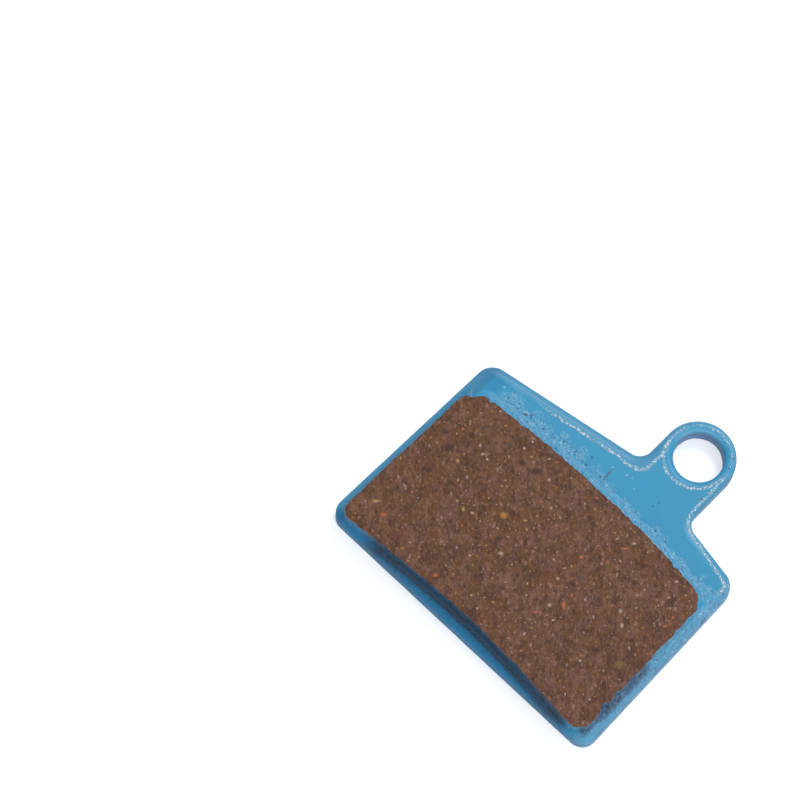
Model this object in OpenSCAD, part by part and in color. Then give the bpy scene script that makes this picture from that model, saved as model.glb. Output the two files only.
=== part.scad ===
// Disc brake pad for a bicycle: a stamped steel backplate with an offset ear,
// and a friction block that is moulded onto it and keyed through two holes.
// Origin: centre of the pin hole, on the back face. +Z points at the rotor,
// +Y from the plate to the ear, and X runs along the plate's straight edge.

/* [Backplate] */
// Length of the straight edge, which faces the hub
base_w = 34; // [33.5:0.1:35]
// Width across the two shoulders
shoulder_w = 32.8; // [32.5:0.1:34]
// Height of the shoulders above the straight edge
shoulder_h = 22.2; // [21:0.1:23]
// Slope of the shoulders as they rise to the ear, in degrees
shoulder_slope = 9.8; // [6:0.1:12]
// Thickness of the steel
plate_t = 2; // [1.8:0.1:2.4]
// Radius of the two lower corners
lower_corner_r = 1.6; // [1:0.1:2]
// Radius of the two shoulder corners
shoulder_corner_r = 1.8; // [1:0.1:2.5]
// Rounding that the press leaves along the edges of the friction side
roll_r = 0.55; // [0.3:0.05:0.6]

/* [Ear] */
// Distance of the pin hole from the plate's centre line
ear_x = 4.9; // [4:0.1:6]
// Height of the pin hole above the straight edge
ear_h = 29.3; // [29:0.1:31]
// Outer radius of the ear
ear_r = 3.75; // [3.7:0.05:4.2]
// Radius of the hole for the retaining pin
pin_hole_r = 2.5; // [2:0.1:2.5]
// Radius of the fillets where the ear leaves the shoulders
ear_fillet_r = 1.5; // [0.8:0.1:2]

/* [Keying holes] */
// Distance between the two holes that the compound is pressed through
key_pitch = 21.7; // [18:0.1:23]
// Height of the keying holes above the straight edge
key_h = 11.1; // [9:0.1:13]
// Radius of the keying holes
key_r = 3; // [2:0.1:3.5]
// Depth by which the compound stops short of the back face
key_recess = 0.12; // [0.05:0.01:0.4]

/* [Friction block] */
// Whole thickness of the pad, from the back face to the ground face
pad_t = 3.8; // [3.4:0.1:4.2]
// Length of the ground face, midway between its two arcs
block_w = 31.5; // [29:0.1:31.6]
// Height of the ground face, from its inner arc to its outer arc
block_h = 18.3; // [16:0.1:18.6]
// Radius of the inner arc, about an axis beyond the straight edge
inner_arc_r = 110; // [110:1:130]
// Height of the inner arc's middle above the straight edge
block_y = 1.2; // [1.2:0.1:2]
// Draft of the moulded walls, in degrees
draft = 3; // [1:0.5:5]
// Length taken off each edge where a corner of the block is cut
corner_cut = 1.2; // [1:0.1:2]
// Thickness of the flash that creeps out round the block's foot
flash_t = 0.2; // [0.1:0.05:0.4]
// Width of the flash along the outer arc
flash_w = 1.3; // [0.5:0.1:1.6]
// Width of the flash at the two ends
flash_end = 0.2; // [0.1:0.05:0.25]

/* [Hidden] */
$fn = 96;
paint_blue = "#3d9bcb";
compound_brown = "#75543f";
// Distance that a cutting shape runs past the surface it cuts
over = 0.5;

// Corners of the plate, anticlockwise, each with the radius that rounds it
function shoulder_y(run) = shoulder_h + run * tan(shoulder_slope);
corners = [
  [-base_w / 2, 0, lower_corner_r],
  [base_w / 2, 0, lower_corner_r],
  [shoulder_w / 2, shoulder_h, shoulder_corner_r],
  [ear_x + ear_r, shoulder_y(shoulder_w / 2 - ear_x - ear_r), ear_fillet_r],
  [ear_x + ear_r, ear_h + ear_r, ear_r],
  [ear_x - ear_r, ear_h + ear_r, ear_r],
  [ear_x - ear_r, shoulder_y(shoulder_w / 2 + ear_x - ear_r), ear_fillet_r],
  [-shoulder_w / 2, shoulder_h, shoulder_corner_r]
];
count = len(corners);
last = count - 1;

// Steps that draw the arc at a corner, and the section of the rolled edge
corner_steps = 10;
roll_steps = 5;

// Geometry of the straight that leaves corner i, and of the arc that rounds it
function point(i) = [corners[i % count].x, corners[i % count].y];
function radius(i) = corners[i % count].z;
function along(i) = (point(i + 1) - point(i)) / norm(point(i + 1) - point(i));
function before(i) = along(i + last);
function turn(i) = acos(before(i) * along(i));
function hand(i) = cross(before(i), along(i)) > 0 ? 1 : -1;
function reach(i) = radius(i) * tan(turn(i) / 2);
function arc_start(i) = point(i) - reach(i) * before(i);
function arc_end(i) = point(i) + reach(i) * along(i);
function arc_centre(i) = arc_start(i) + hand(i) * radius(i) * [-before(i).y, before(i).x];
function bearing(v) = atan2(v.y, v.x);

// Step k of the arc at corner i, moved inwards from the outline by inset
function arc_point(i, k, inset) =
  let (angle = bearing(arc_start(i) - arc_centre(i)) + hand(i) * turn(i) * k / corner_steps)
  arc_centre(i) + (radius(i) - hand(i) * inset) * [cos(angle), sin(angle)];

// An arc leaves out its last step where the next arc starts at once, as at the
// top of the ear
function steps(i) = norm(arc_start(i + 1) - arc_end(i)) < 0.001 ? corner_steps - 1 : corner_steps;
function outline(inset) = [for (i = [0 : last], k = [0 : steps(i)]) arc_point(i, k, inset)];

// Inset and height of each ring of the blank, from the back face up and over
// the rolled edge
rings = [
  [0, 0],
  for (k = [0 : roll_steps]) let (angle = 90 * k / roll_steps)
    [roll_r * (1 - cos(angle)), plate_t - roll_r * (1 - sin(angle))]
];

// The arcs of the block share one centre, below the straight edge
arc_centre_y = block_y - inner_arc_r;
outer_arc_r = inner_arc_r + block_h;
arc_sweep = 2 * asin(base_w / 2 / inner_arc_r);

// The block's ends run parallel to the plate's two flanks
flank = atan((base_w - shoulder_w) / 2 / shoulder_h);
block_mid = block_y + block_h / 2;

// The stamping before any hole is pierced: its outline is lofted from ring to
// ring, with a sharp edge on the back and a rolled one on the friction side.
// Each flat is a fan about a hub at the foot of the ear, which every point of
// the outline can be seen from
module blank() {
  n = len(outline(0));
  top = n * (len(rings) - 1);
  hub = n * len(rings);
  polyhedron(
    points = [
      for (ring = rings, p = outline(ring[0])) [p.x, p.y, ring[1]],
      [ear_x, shoulder_h, 0],
      [ear_x, shoulder_h, plate_t]
    ],
    faces = [
      for (k = [0 : n - 1]) let (next = (k + 1) % n) each [
        [k, next, hub],
        for (r = [0 : len(rings) - 2])
          [r * n + k, (r + 1) * n + k, (r + 1) * n + next, r * n + next],
        [top + next, top + k, hub + 1]
      ]
    ]
  );
}

// What a rolled edge lacks, seen in section: X points out of the plate
module roll_section() {
  difference() {
    translate([-roll_r, plate_t - roll_r]) square(roll_r + over);
    translate([-roll_r, plate_t - roll_r]) circle(roll_r);
  }
}

// A through hole, with the edge of the friction side rolled like the outline
module pin_hole() {
  translate([ear_x, ear_h, 0]) {
    translate([0, 0, -over]) cylinder(r = pin_hole_r, h = plate_t + 2 * over);
    rotate_extrude() translate([pin_hole_r, 0]) mirror([1, 0]) roll_section();
  }
}

// Places its children at both keying holes
module at_keys() {
  for (x = [-key_pitch / 2, key_pitch / 2]) translate([x, key_h, 0]) children();
}

// All that lies beyond a leaning plane, which stands short of a point by the
// setback and faces the heading
module beyond(place, heading, lean, setback) {
  translate(place) rotate([0, -lean, heading])
    translate([-setback, -2 * block_h, -pad_t]) cube([block_h, 4 * block_h, 2 * pad_t]);
}

// A sector between two arcs, with leaning walls, straight ends and cut corners
module clipped_sector(inner_r, outer_r, half_w, low, high, lean, cut) {
  spread = (high - low) * tan(lean);
  difference() {
    translate([0, arc_centre_y, 0])
      rotate_extrude(angle = arc_sweep, start = 90 - arc_sweep / 2)
        polygon([
          [inner_r - spread, low], [outer_r + spread, low],
          [outer_r, high], [inner_r, high]
        ]);
    for (side = [-1, 1]) {
      beyond([side * half_w, block_mid, high], 90 - side * (90 - flank), lean, 0);
      for (arc = [[inner_r, -1], [outer_r, 1]])
        let (y = arc_centre_y + sqrt(arc[0] ^ 2 - half_w ^ 2))
          beyond([side * (half_w - (y - block_mid) * tan(flank)), y, high],
            atan2(arc[1], side), lean, cut / sqrt(2));
    }
  }
}

// Moves a shape drawn from the straight edge's middle to the pin hole's frame
module from_pin_hole() {
  translate([-ear_x, -ear_h, 0]) children();
}

// Steel stamping: rolled edges on the friction side, an ear for the pin and
// two holes for the compound
module backplate() {
  color(paint_blue) from_pin_hole() difference() {
    blank();
    pin_hole();
    at_keys() translate([0, 0, -over]) cylinder(r = key_r, h = plate_t + 2 * over);
  }
}

// Moulded compound: a drafted block that ends in flash, follows the rolled
// edge at its foot and fills both keying holes
module friction_block() {
  color(compound_brown) from_pin_hole() union() {
    difference() {
      union() {
        clipped_sector(inner_arc_r, outer_arc_r, block_w / 2,
          plate_t - roll_r, pad_t, draft, corner_cut);
        clipped_sector(inner_arc_r - flash_end, outer_arc_r + flash_w, block_w / 2 + flash_end,
          plate_t - roll_r, plate_t + flash_t, 0, 2 * corner_cut);
      }
      blank();
    }
    at_keys() translate([0, 0, key_recess]) cylinder(r = key_r, h = plate_t - key_recess + flash_t);
  }
}

backplate();
friction_block();
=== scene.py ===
"""A bicycle disc brake pad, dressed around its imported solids.

The pad is a stamped steel backplate with an offset ear, coated in light blue
powder, and a brown friction block that is moulded onto it, painted with it and
then ground flat. Meshes are modelled in millimetres and finished in metres, in
the frame of the solids: the origin is the centre of the pin hole on the back
face, +Z points at the rotor and +Y runs from the plate to the ear.
"""

import logging
import math
import random
from dataclasses import dataclass, field
from enum import Enum

import bmesh
import bpy
from mathutils import Matrix, Vector, noise

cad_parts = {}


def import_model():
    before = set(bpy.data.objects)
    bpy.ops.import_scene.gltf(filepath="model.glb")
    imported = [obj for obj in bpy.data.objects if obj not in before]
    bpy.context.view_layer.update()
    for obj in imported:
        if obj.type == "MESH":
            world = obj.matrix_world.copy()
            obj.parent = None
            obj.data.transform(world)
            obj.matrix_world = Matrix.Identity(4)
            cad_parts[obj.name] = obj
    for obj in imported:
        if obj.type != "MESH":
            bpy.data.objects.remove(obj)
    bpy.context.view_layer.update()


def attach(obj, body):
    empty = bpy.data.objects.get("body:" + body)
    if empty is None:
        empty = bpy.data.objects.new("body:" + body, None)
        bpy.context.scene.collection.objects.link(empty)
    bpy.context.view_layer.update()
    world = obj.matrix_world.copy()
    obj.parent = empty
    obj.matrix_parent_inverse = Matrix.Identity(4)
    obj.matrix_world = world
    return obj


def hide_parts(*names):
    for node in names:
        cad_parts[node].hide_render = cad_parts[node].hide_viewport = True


LOG = logging.getLogger("brake_pad")
MM = 0.001
BODY = "root"
Ring = list[bmesh.types.BMVert]
Socket = bpy.types.NodeSocket
Colour = tuple[float, float, float]
Value = Socket | float | Colour | tuple[float, float, float, float]
# The two ends of a range: for a mask, where it starts and where it is complete
Span = tuple[float, float]

# Gap in millimetres under which two vertices are one
WELD = 0.001
# Least share of a level face's normal that points up or down
LEVEL = 0.9
# Least distance between two grains, as a share of their radii added up
GRAIN_GAP = 1.4


def smooth_step(low: float, high: float, value: float) -> float:
    """Rises smoothly from 0 at low to 1 at high, or falls where high is below low."""
    share = min(1.0, max(0.0, (value - low) / (high - low)))
    return share * share * (3 - 2 * share)


def rough(place: Vector, size: float, seed: float = 0.0) -> float:
    """Returns noise between about -1 and 1 at a place, in bumps of a size, shifted by a seed."""
    return noise.noise(place / size + Vector((seed, -seed, 2 * seed)))


@dataclass(frozen=True)
class Waves:
    """One scale of roughness: its height and the width of its bumps in millimetres, and its seed."""

    height: float
    size: float
    seed: float

    def at(self, place: Vector) -> float:
        """Returns how far they stand out at a place."""
        return self.height * rough(place, self.size, self.seed)

    def peaks(self, place: Vector, above: float) -> float:
        """Returns how far they stand out at a place, counting only what is above a level of the noise."""
        return self.height * max(0.0, rough(place, self.size, self.seed) - above)


class RingTools:
    """Operations on closed rings of vertices in a bmesh."""

    @staticmethod
    def walk(edges: list[bmesh.types.BMEdge]) -> Ring:
        """Lists the vertices of one closed chain of edges.

        Args:
            edges: the edges of the chain, in any order.

        Returns:
            The ring, anticlockwise seen from +Z.
        """
        members = set(edges)
        ring = list(edges[0].verts)
        while True:
            ahead = next(
                (e for e in ring[-1].link_edges if e in members and e.other_vert(ring[-1]) != ring[-2]), None
            )
            if ahead is None or ahead.other_vert(ring[-1]) is ring[0]:
                break
            ring.append(ahead.other_vert(ring[-1]))
        area = sum(a.co.x * b.co.y - b.co.x * a.co.y for a, b in zip(ring, ring[1:] + ring[:1]))
        return ring if area > 0 else ring[::-1]

    @staticmethod
    def edges(ring: Ring) -> list[bmesh.types.BMEdge]:
        """Finds the edges that join a ring's vertices.

        Args:
            ring: a closed ring of vertices.

        Returns:
            The edges, in the ring's order.
        """
        chain = []
        for a, b in zip(ring, ring[1:] + ring[:1]):
            chain.append(next(e for e in a.link_edges if e.other_vert(a) is b))
        return chain

    @staticmethod
    def outward(ring: Ring) -> list[Vector]:
        """Finds the level normal of each vertex of a ring.

        Args:
            ring: an anticlockwise ring.

        Returns:
            The normals, which point out of the ring.
        """
        normals = []
        for before, after in zip([ring[-1]] + ring[:-1], ring[1:] + ring[:1]):
            along = after.co - before.co
            normals.append(Vector((along.y, -along.x, 0)).normalized())
        return normals

    @staticmethod
    def extrude(mesh: bmesh.types.BMesh, ring: Ring) -> Ring:
        """Extrudes a ring in place.

        Args:
            mesh: the mesh being modelled.
            ring: a closed ring of vertices.

        Returns:
            The new ring, in the same order.
        """
        made = bmesh.ops.extrude_edge_only(mesh, edges=RingTools.edges(ring))["geom"]
        fresh = {v for v in made if isinstance(v, bmesh.types.BMVert)}
        return [next(e.other_vert(v) for e in v.link_edges if e.other_vert(v) in fresh) for v in ring]

    @staticmethod
    def cap(mesh: bmesh.types.BMesh, rings: list[Ring], upward: bool) -> list[bmesh.types.BMFace]:
        """Fills the level area between an outer ring and the rings of its holes.

        Args:
            mesh: the mesh that holds the rings.
            rings: the outer ring and any hole's ring.
            upward: whether the fill faces +Z.

        Returns:
            The faces made.
        """
        edges = [edge for ring in rings for edge in RingTools.edges(ring)]
        normal = (0, 0, 1 if upward else -1)
        made = bmesh.ops.triangle_fill(mesh, use_beauty=True, edges=edges, normal=normal)["geom"]
        faces = [f for f in made if isinstance(f, bmesh.types.BMFace)]
        turned = [f for f in faces if (f.normal.z > 0) != upward]
        bmesh.ops.reverse_faces(mesh, faces=turned)
        return faces


def finished(mesh: bmesh.types.BMesh, name: str, sharp_deg: float) -> bpy.types.Object:
    """Turns a bmesh in millimetres into a smooth-shaded object in metres.

    Args:
        mesh: the modelled mesh, which is freed.
        name: the piece's name.
        sharp_deg: edges that bend more than this stay sharp.

    Returns:
        The object, at the origin, with its place in its mesh.
    """
    bmesh.ops.transform(mesh, matrix=Matrix.Scale(MM, 4), verts=mesh.verts)
    data = bpy.data.meshes.new(name)
    mesh.to_mesh(data)
    mesh.free()
    data.shade_smooth()
    data.set_sharp_from_angle(angle=math.radians(sharp_deg))
    piece = bpy.data.objects.new(name, data)
    bpy.context.scene.collection.objects.link(piece)
    return piece


@dataclass
class PlateShape:
    """The stamping's outline and section, in millimetres, drawn from the straight edge's middle."""

    base_w: float = 34.0
    shoulder_w: float = 32.8
    shoulder_h: float = 22.2
    shoulder_slope: float = 9.8
    thickness: float = 2.0
    lower_corner_r: float = 1.6
    shoulder_corner_r: float = 1.8
    roll: float = 0.55
    roll_reach: float = 0.95
    ear_roll_reach: float = 0.55
    hole_roll_reach: float = 0.62
    hole_roll_eased: float = 0.44
    ear_x: float = 4.9
    ear_h: float = 29.3
    ear_r: float = 3.75
    pin_hole_r: float = 2.5
    ear_fillet_r: float = 1.5
    key_pitch: float = 21.7
    key_h: float = 11.1
    key_r: float = 3.0
    ear_foot: Span = (-1.5, -4.5)
    thick_coat_heading: Span = (0.3, 1.3)

    def at_pin_hole(self, x: float, y: float, z: float = 0.0) -> Vector:
        """Moves a point drawn from the straight edge's middle to the pin hole's frame."""
        return Vector((x - self.ear_x, y - self.ear_h, z))

    def shoulder_y(self, run: float) -> float:
        """Returns the shoulder's height at a distance in from its corner."""
        return self.shoulder_h + run * math.tan(math.radians(self.shoulder_slope))

    def corners(self) -> list[tuple[Vector, float]]:
        """Lists the outline's corners.

        Returns:
            The corners, anticlockwise, each with its radius.
        """
        left, right = self.ear_x - self.ear_r, self.ear_x + self.ear_r
        half_base, half_shoulder = self.base_w / 2, self.shoulder_w / 2
        top = self.ear_h + self.ear_r
        drawn = [
            (-half_base, 0, self.lower_corner_r),
            (half_base, 0, self.lower_corner_r),
            (half_shoulder, self.shoulder_h, self.shoulder_corner_r),
            (right, self.shoulder_y(half_shoulder - right), self.ear_fillet_r),
            (right, top, self.ear_r),
            (left, top, self.ear_r),
            (left, self.shoulder_y(half_shoulder + left), self.ear_fillet_r),
            (-half_shoulder, self.shoulder_h, self.shoulder_corner_r),
        ]
        return [(self.at_pin_hole(x, y), radius) for x, y, radius in drawn]

    def key_centres(self) -> list[Vector]:
        """Returns the centres of the two keying holes."""
        return [self.at_pin_hole(side * self.key_pitch / 2, self.key_h) for side in (-1, 1)]

    def flank_lean(self) -> float:
        """Returns how far the two flanks lean in for each millimetre of height."""
        return (self.base_w - self.shoulder_w) / 2 / self.shoulder_h

    def outline_reach(self, place: Vector) -> float:
        """Returns how far the rolled edge reaches in at a point of the outline, less along the ear."""
        wide = smooth_step(*self.ear_foot, place.y)
        return self.ear_roll_reach + (self.roll_reach - self.ear_roll_reach) * wide

    def hole_reach(self, place: Vector) -> float:
        """Eases the roll of the pin hole at its upper left, where the coat is thick.

        Args:
            place: a point of the hole's edge.

        Returns:
            How far the rolled edge reaches out there.
        """
        heading = place.normalized()
        thick_coat = smooth_step(*self.thick_coat_heading, heading.y - heading.x)
        return self.hole_roll_reach - self.hole_roll_eased * thick_coat

    def inside(self, place: Vector) -> float:
        """Returns a point's distance inside the straight edge or the nearer flank."""
        x, y = place.x + self.ear_x, place.y + self.ear_h
        return min(y, self.base_w / 2 - self.flank_lean() * y - abs(x))

    def surface(self, place: Vector) -> float:
        """Returns the height of the plate's friction side under a point of the block's foot."""
        sunk = 1 - min(1.0, max(0.0, self.inside(place) / self.roll_reach))
        return self.thickness - self.roll + self.roll * math.sqrt(1 - sunk**2)

    def held_in(self, place: Vector, margin: float) -> Vector:
        """Moves a point in from beyond the straight edge or a flank.

        Args:
            place: the point.
            margin: how far inside it has to be.

        Returns:
            The point, where it may be.
        """
        y = max(place.y, margin - self.ear_h)
        limit = self.base_w / 2 - self.flank_lean() * (y + self.ear_h) - margin
        x = min(limit, max(-limit, place.x + self.ear_x)) - self.ear_x
        return Vector((x, y, place.z))


@dataclass
class Backplate:
    """The steel stamping: rolled edges on the friction side and a sharp edge on the back."""

    shape: PlateShape
    corner_steps: int = 12
    roll_steps: int = 10
    edge_break: float = 0.05
    shelf: float = 0.03
    straight_step: float = 0.5
    hole_steps: int = 72
    ripple: Waves = Waves(0.02, 1.7, 3.1)
    coat_run: float = 0.05
    coat_run_even: float = 0.6
    coat_run_waves: Waves = Waves(1.0, 1.3, 7.7)
    coat_run_z: Span = (1.1, 0.3)

    def build(self) -> bpy.types.Object:
        """Models the plate.

        Returns:
            The finished object.
        """
        mesh = bmesh.new()
        rims = [self.rolled_wall(mesh, self.outline(mesh), 1)]
        rims.append(self.rolled_wall(mesh, self.circle(mesh, Vector(), self.shape.pin_hole_r), -1))
        for centre in self.shape.key_centres():
            low = self.circle(mesh, centre, self.shape.key_r)
            high = RingTools.extrude(mesh, low)
            for vert in high:
                vert.co.z = self.shape.thickness
            rims.append((low, high))
        RingTools.cap(mesh, [low for low, _ in rims], upward=False)
        RingTools.cap(mesh, [high for _, high in rims], upward=True)
        bmesh.ops.recalc_face_normals(mesh, faces=mesh.faces)
        return finished(mesh, "painted_backplate", sharp_deg=35)

    def outline(self, mesh: bmesh.types.BMesh) -> Ring:
        """Draws the outline with rounded corners, in steps short enough to ripple.

        Args:
            mesh: the mesh being modelled.

        Returns:
            The ring of the outline, on the back face.
        """
        corners = self.shape.corners()
        verts = [mesh.verts.new(place) for place, _ in corners]
        mesh.faces.new(verts)
        places = [place for place, _ in corners]
        for index, (place, radius) in enumerate(corners):
            before = (place - places[index - 1]).normalized()
            after = (places[(index + 1) % len(places)] - place).normalized()
            reach = radius * math.tan(before.angle(after) / 2)
            bmesh.ops.bevel(
                mesh, geom=[verts[index]], offset=reach, offset_type="OFFSET", affect="VERTICES",
                segments=self.corner_steps, profile=0.5, material=-1, clamp_overlap=False,
            )
        bmesh.ops.delete(mesh, geom=mesh.faces[:], context="FACES_ONLY")
        bmesh.ops.remove_doubles(mesh, verts=mesh.verts, dist=WELD)
        for edge in mesh.edges[:]:
            cuts = int(edge.calc_length() / self.straight_step)
            if cuts:
                bmesh.ops.subdivide_edges(mesh, edges=[edge], cuts=cuts)
        return RingTools.walk(mesh.edges[:])

    def circle(self, mesh: bmesh.types.BMesh, centre: Vector, radius: float) -> Ring:
        """Draws a ring for a hole on the back face.

        Args:
            mesh: the mesh being modelled.
            centre: the hole's centre.
            radius: its radius.

        Returns:
            The ring.
        """
        made = bmesh.ops.create_circle(
            mesh, cap_ends=False, radius=radius, segments=self.hole_steps, matrix=Matrix.Translation(centre)
        )["verts"]
        return RingTools.walk(list(dict.fromkeys(edge for vert in made for edge in vert.link_edges)))

    def section(self) -> list[tuple[float, float, float]]:
        """Lists the rings of the plate's wall, from the back up.

        Returns:
            Each ring's plain inset, its share of the roll's reach and its height.
        """
        top, roll = self.shape.thickness, self.shape.roll
        steps = [(self.edge_break, 0.0, 0.0), (0.0, 0.0, self.edge_break), (0.0, 0.0, top - roll)]
        for step in range(1, self.roll_steps + 1):
            angle = math.pi / 2 * step / self.roll_steps
            steps.append((0.0, 1 - math.cos(angle), top - roll * (1 - math.sin(angle))))
        return steps + [(self.shelf, 1.0, top)]

    def rolled_wall(self, mesh: bmesh.types.BMesh, ring: Ring, side: int) -> tuple[Ring, Ring]:
        """Raises a ring along the plate's section.

        Args:
            mesh: the plate's mesh.
            ring: the ring on the back face.
            side: 1 round the outline, or -1 round a hole, where an inset widens the hole.

        Returns:
            The lowest and the highest ring.
        """
        flat = [vert.co.copy() for vert in ring]
        normals = RingTools.outward(ring)
        reaches = [(self.shape.outline_reach if side > 0 else self.shape.hole_reach)(place) for place in flat]
        rings = [ring]
        top = self.shape.thickness
        for inset, share, height in self.section():
            if height > 0:
                rings.append(RingTools.extrude(mesh, rings[-1]))
            for vert, place, normal, reach in zip(rings[-1], flat, normals, reaches):
                uneven = abs(self.ripple.at(place + Vector((0, 0, 2 * height))))
                if side < 0:
                    sag = self.coat_run * smooth_step(*self.coat_run_z, height)
                    uneven -= sag * (self.coat_run_even + self.coat_run_waves.at(place))
                vert.co = place - normal * side * (uneven + inset + share * reach)
                vert.co.z = height
                if side < 0 and height >= top - self.shape.roll:
                    vert.co.z = top - (top - height) * reach / self.shape.hole_roll_reach
        return rings[0], rings[-1]


class Mineral(Enum):
    """The kinds of grain in the compound, by the colour that the ground face shows."""

    OCHRE = (0.43, 0.21, 0.055)
    YELLOW = (0.44, 0.28, 0.12)
    ORANGE = (0.44, 0.14, 0.065)
    SLATE = (0.09, 0.07, 0.06)
    DARK = (0.06, 0.025, 0.018)
    PALE = (0.50, 0.34, 0.29)
    TAN = (0.25, 0.14, 0.095)
    OLIVE = (0.21, 0.12, 0.045)


@dataclass(frozen=True)
class Grain:
    """One large grain, at a place in the pin hole's frame, with its radii in millimetres."""

    mineral: Mineral
    x: float
    y: float
    length: float
    width: float
    turn: float = 0.0

    def touches(self, other: "Grain") -> bool:
        """Whether another grain is so near that the two could overlap."""
        return math.hypot(self.x - other.x, self.y - other.y) < GRAIN_GAP * (self.length + other.length)


@dataclass(frozen=True)
class Bite:
    """A place where the rim of the ground face has broken away, with its size in millimetres."""

    x: float
    y: float
    radius: float
    depth: float


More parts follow.
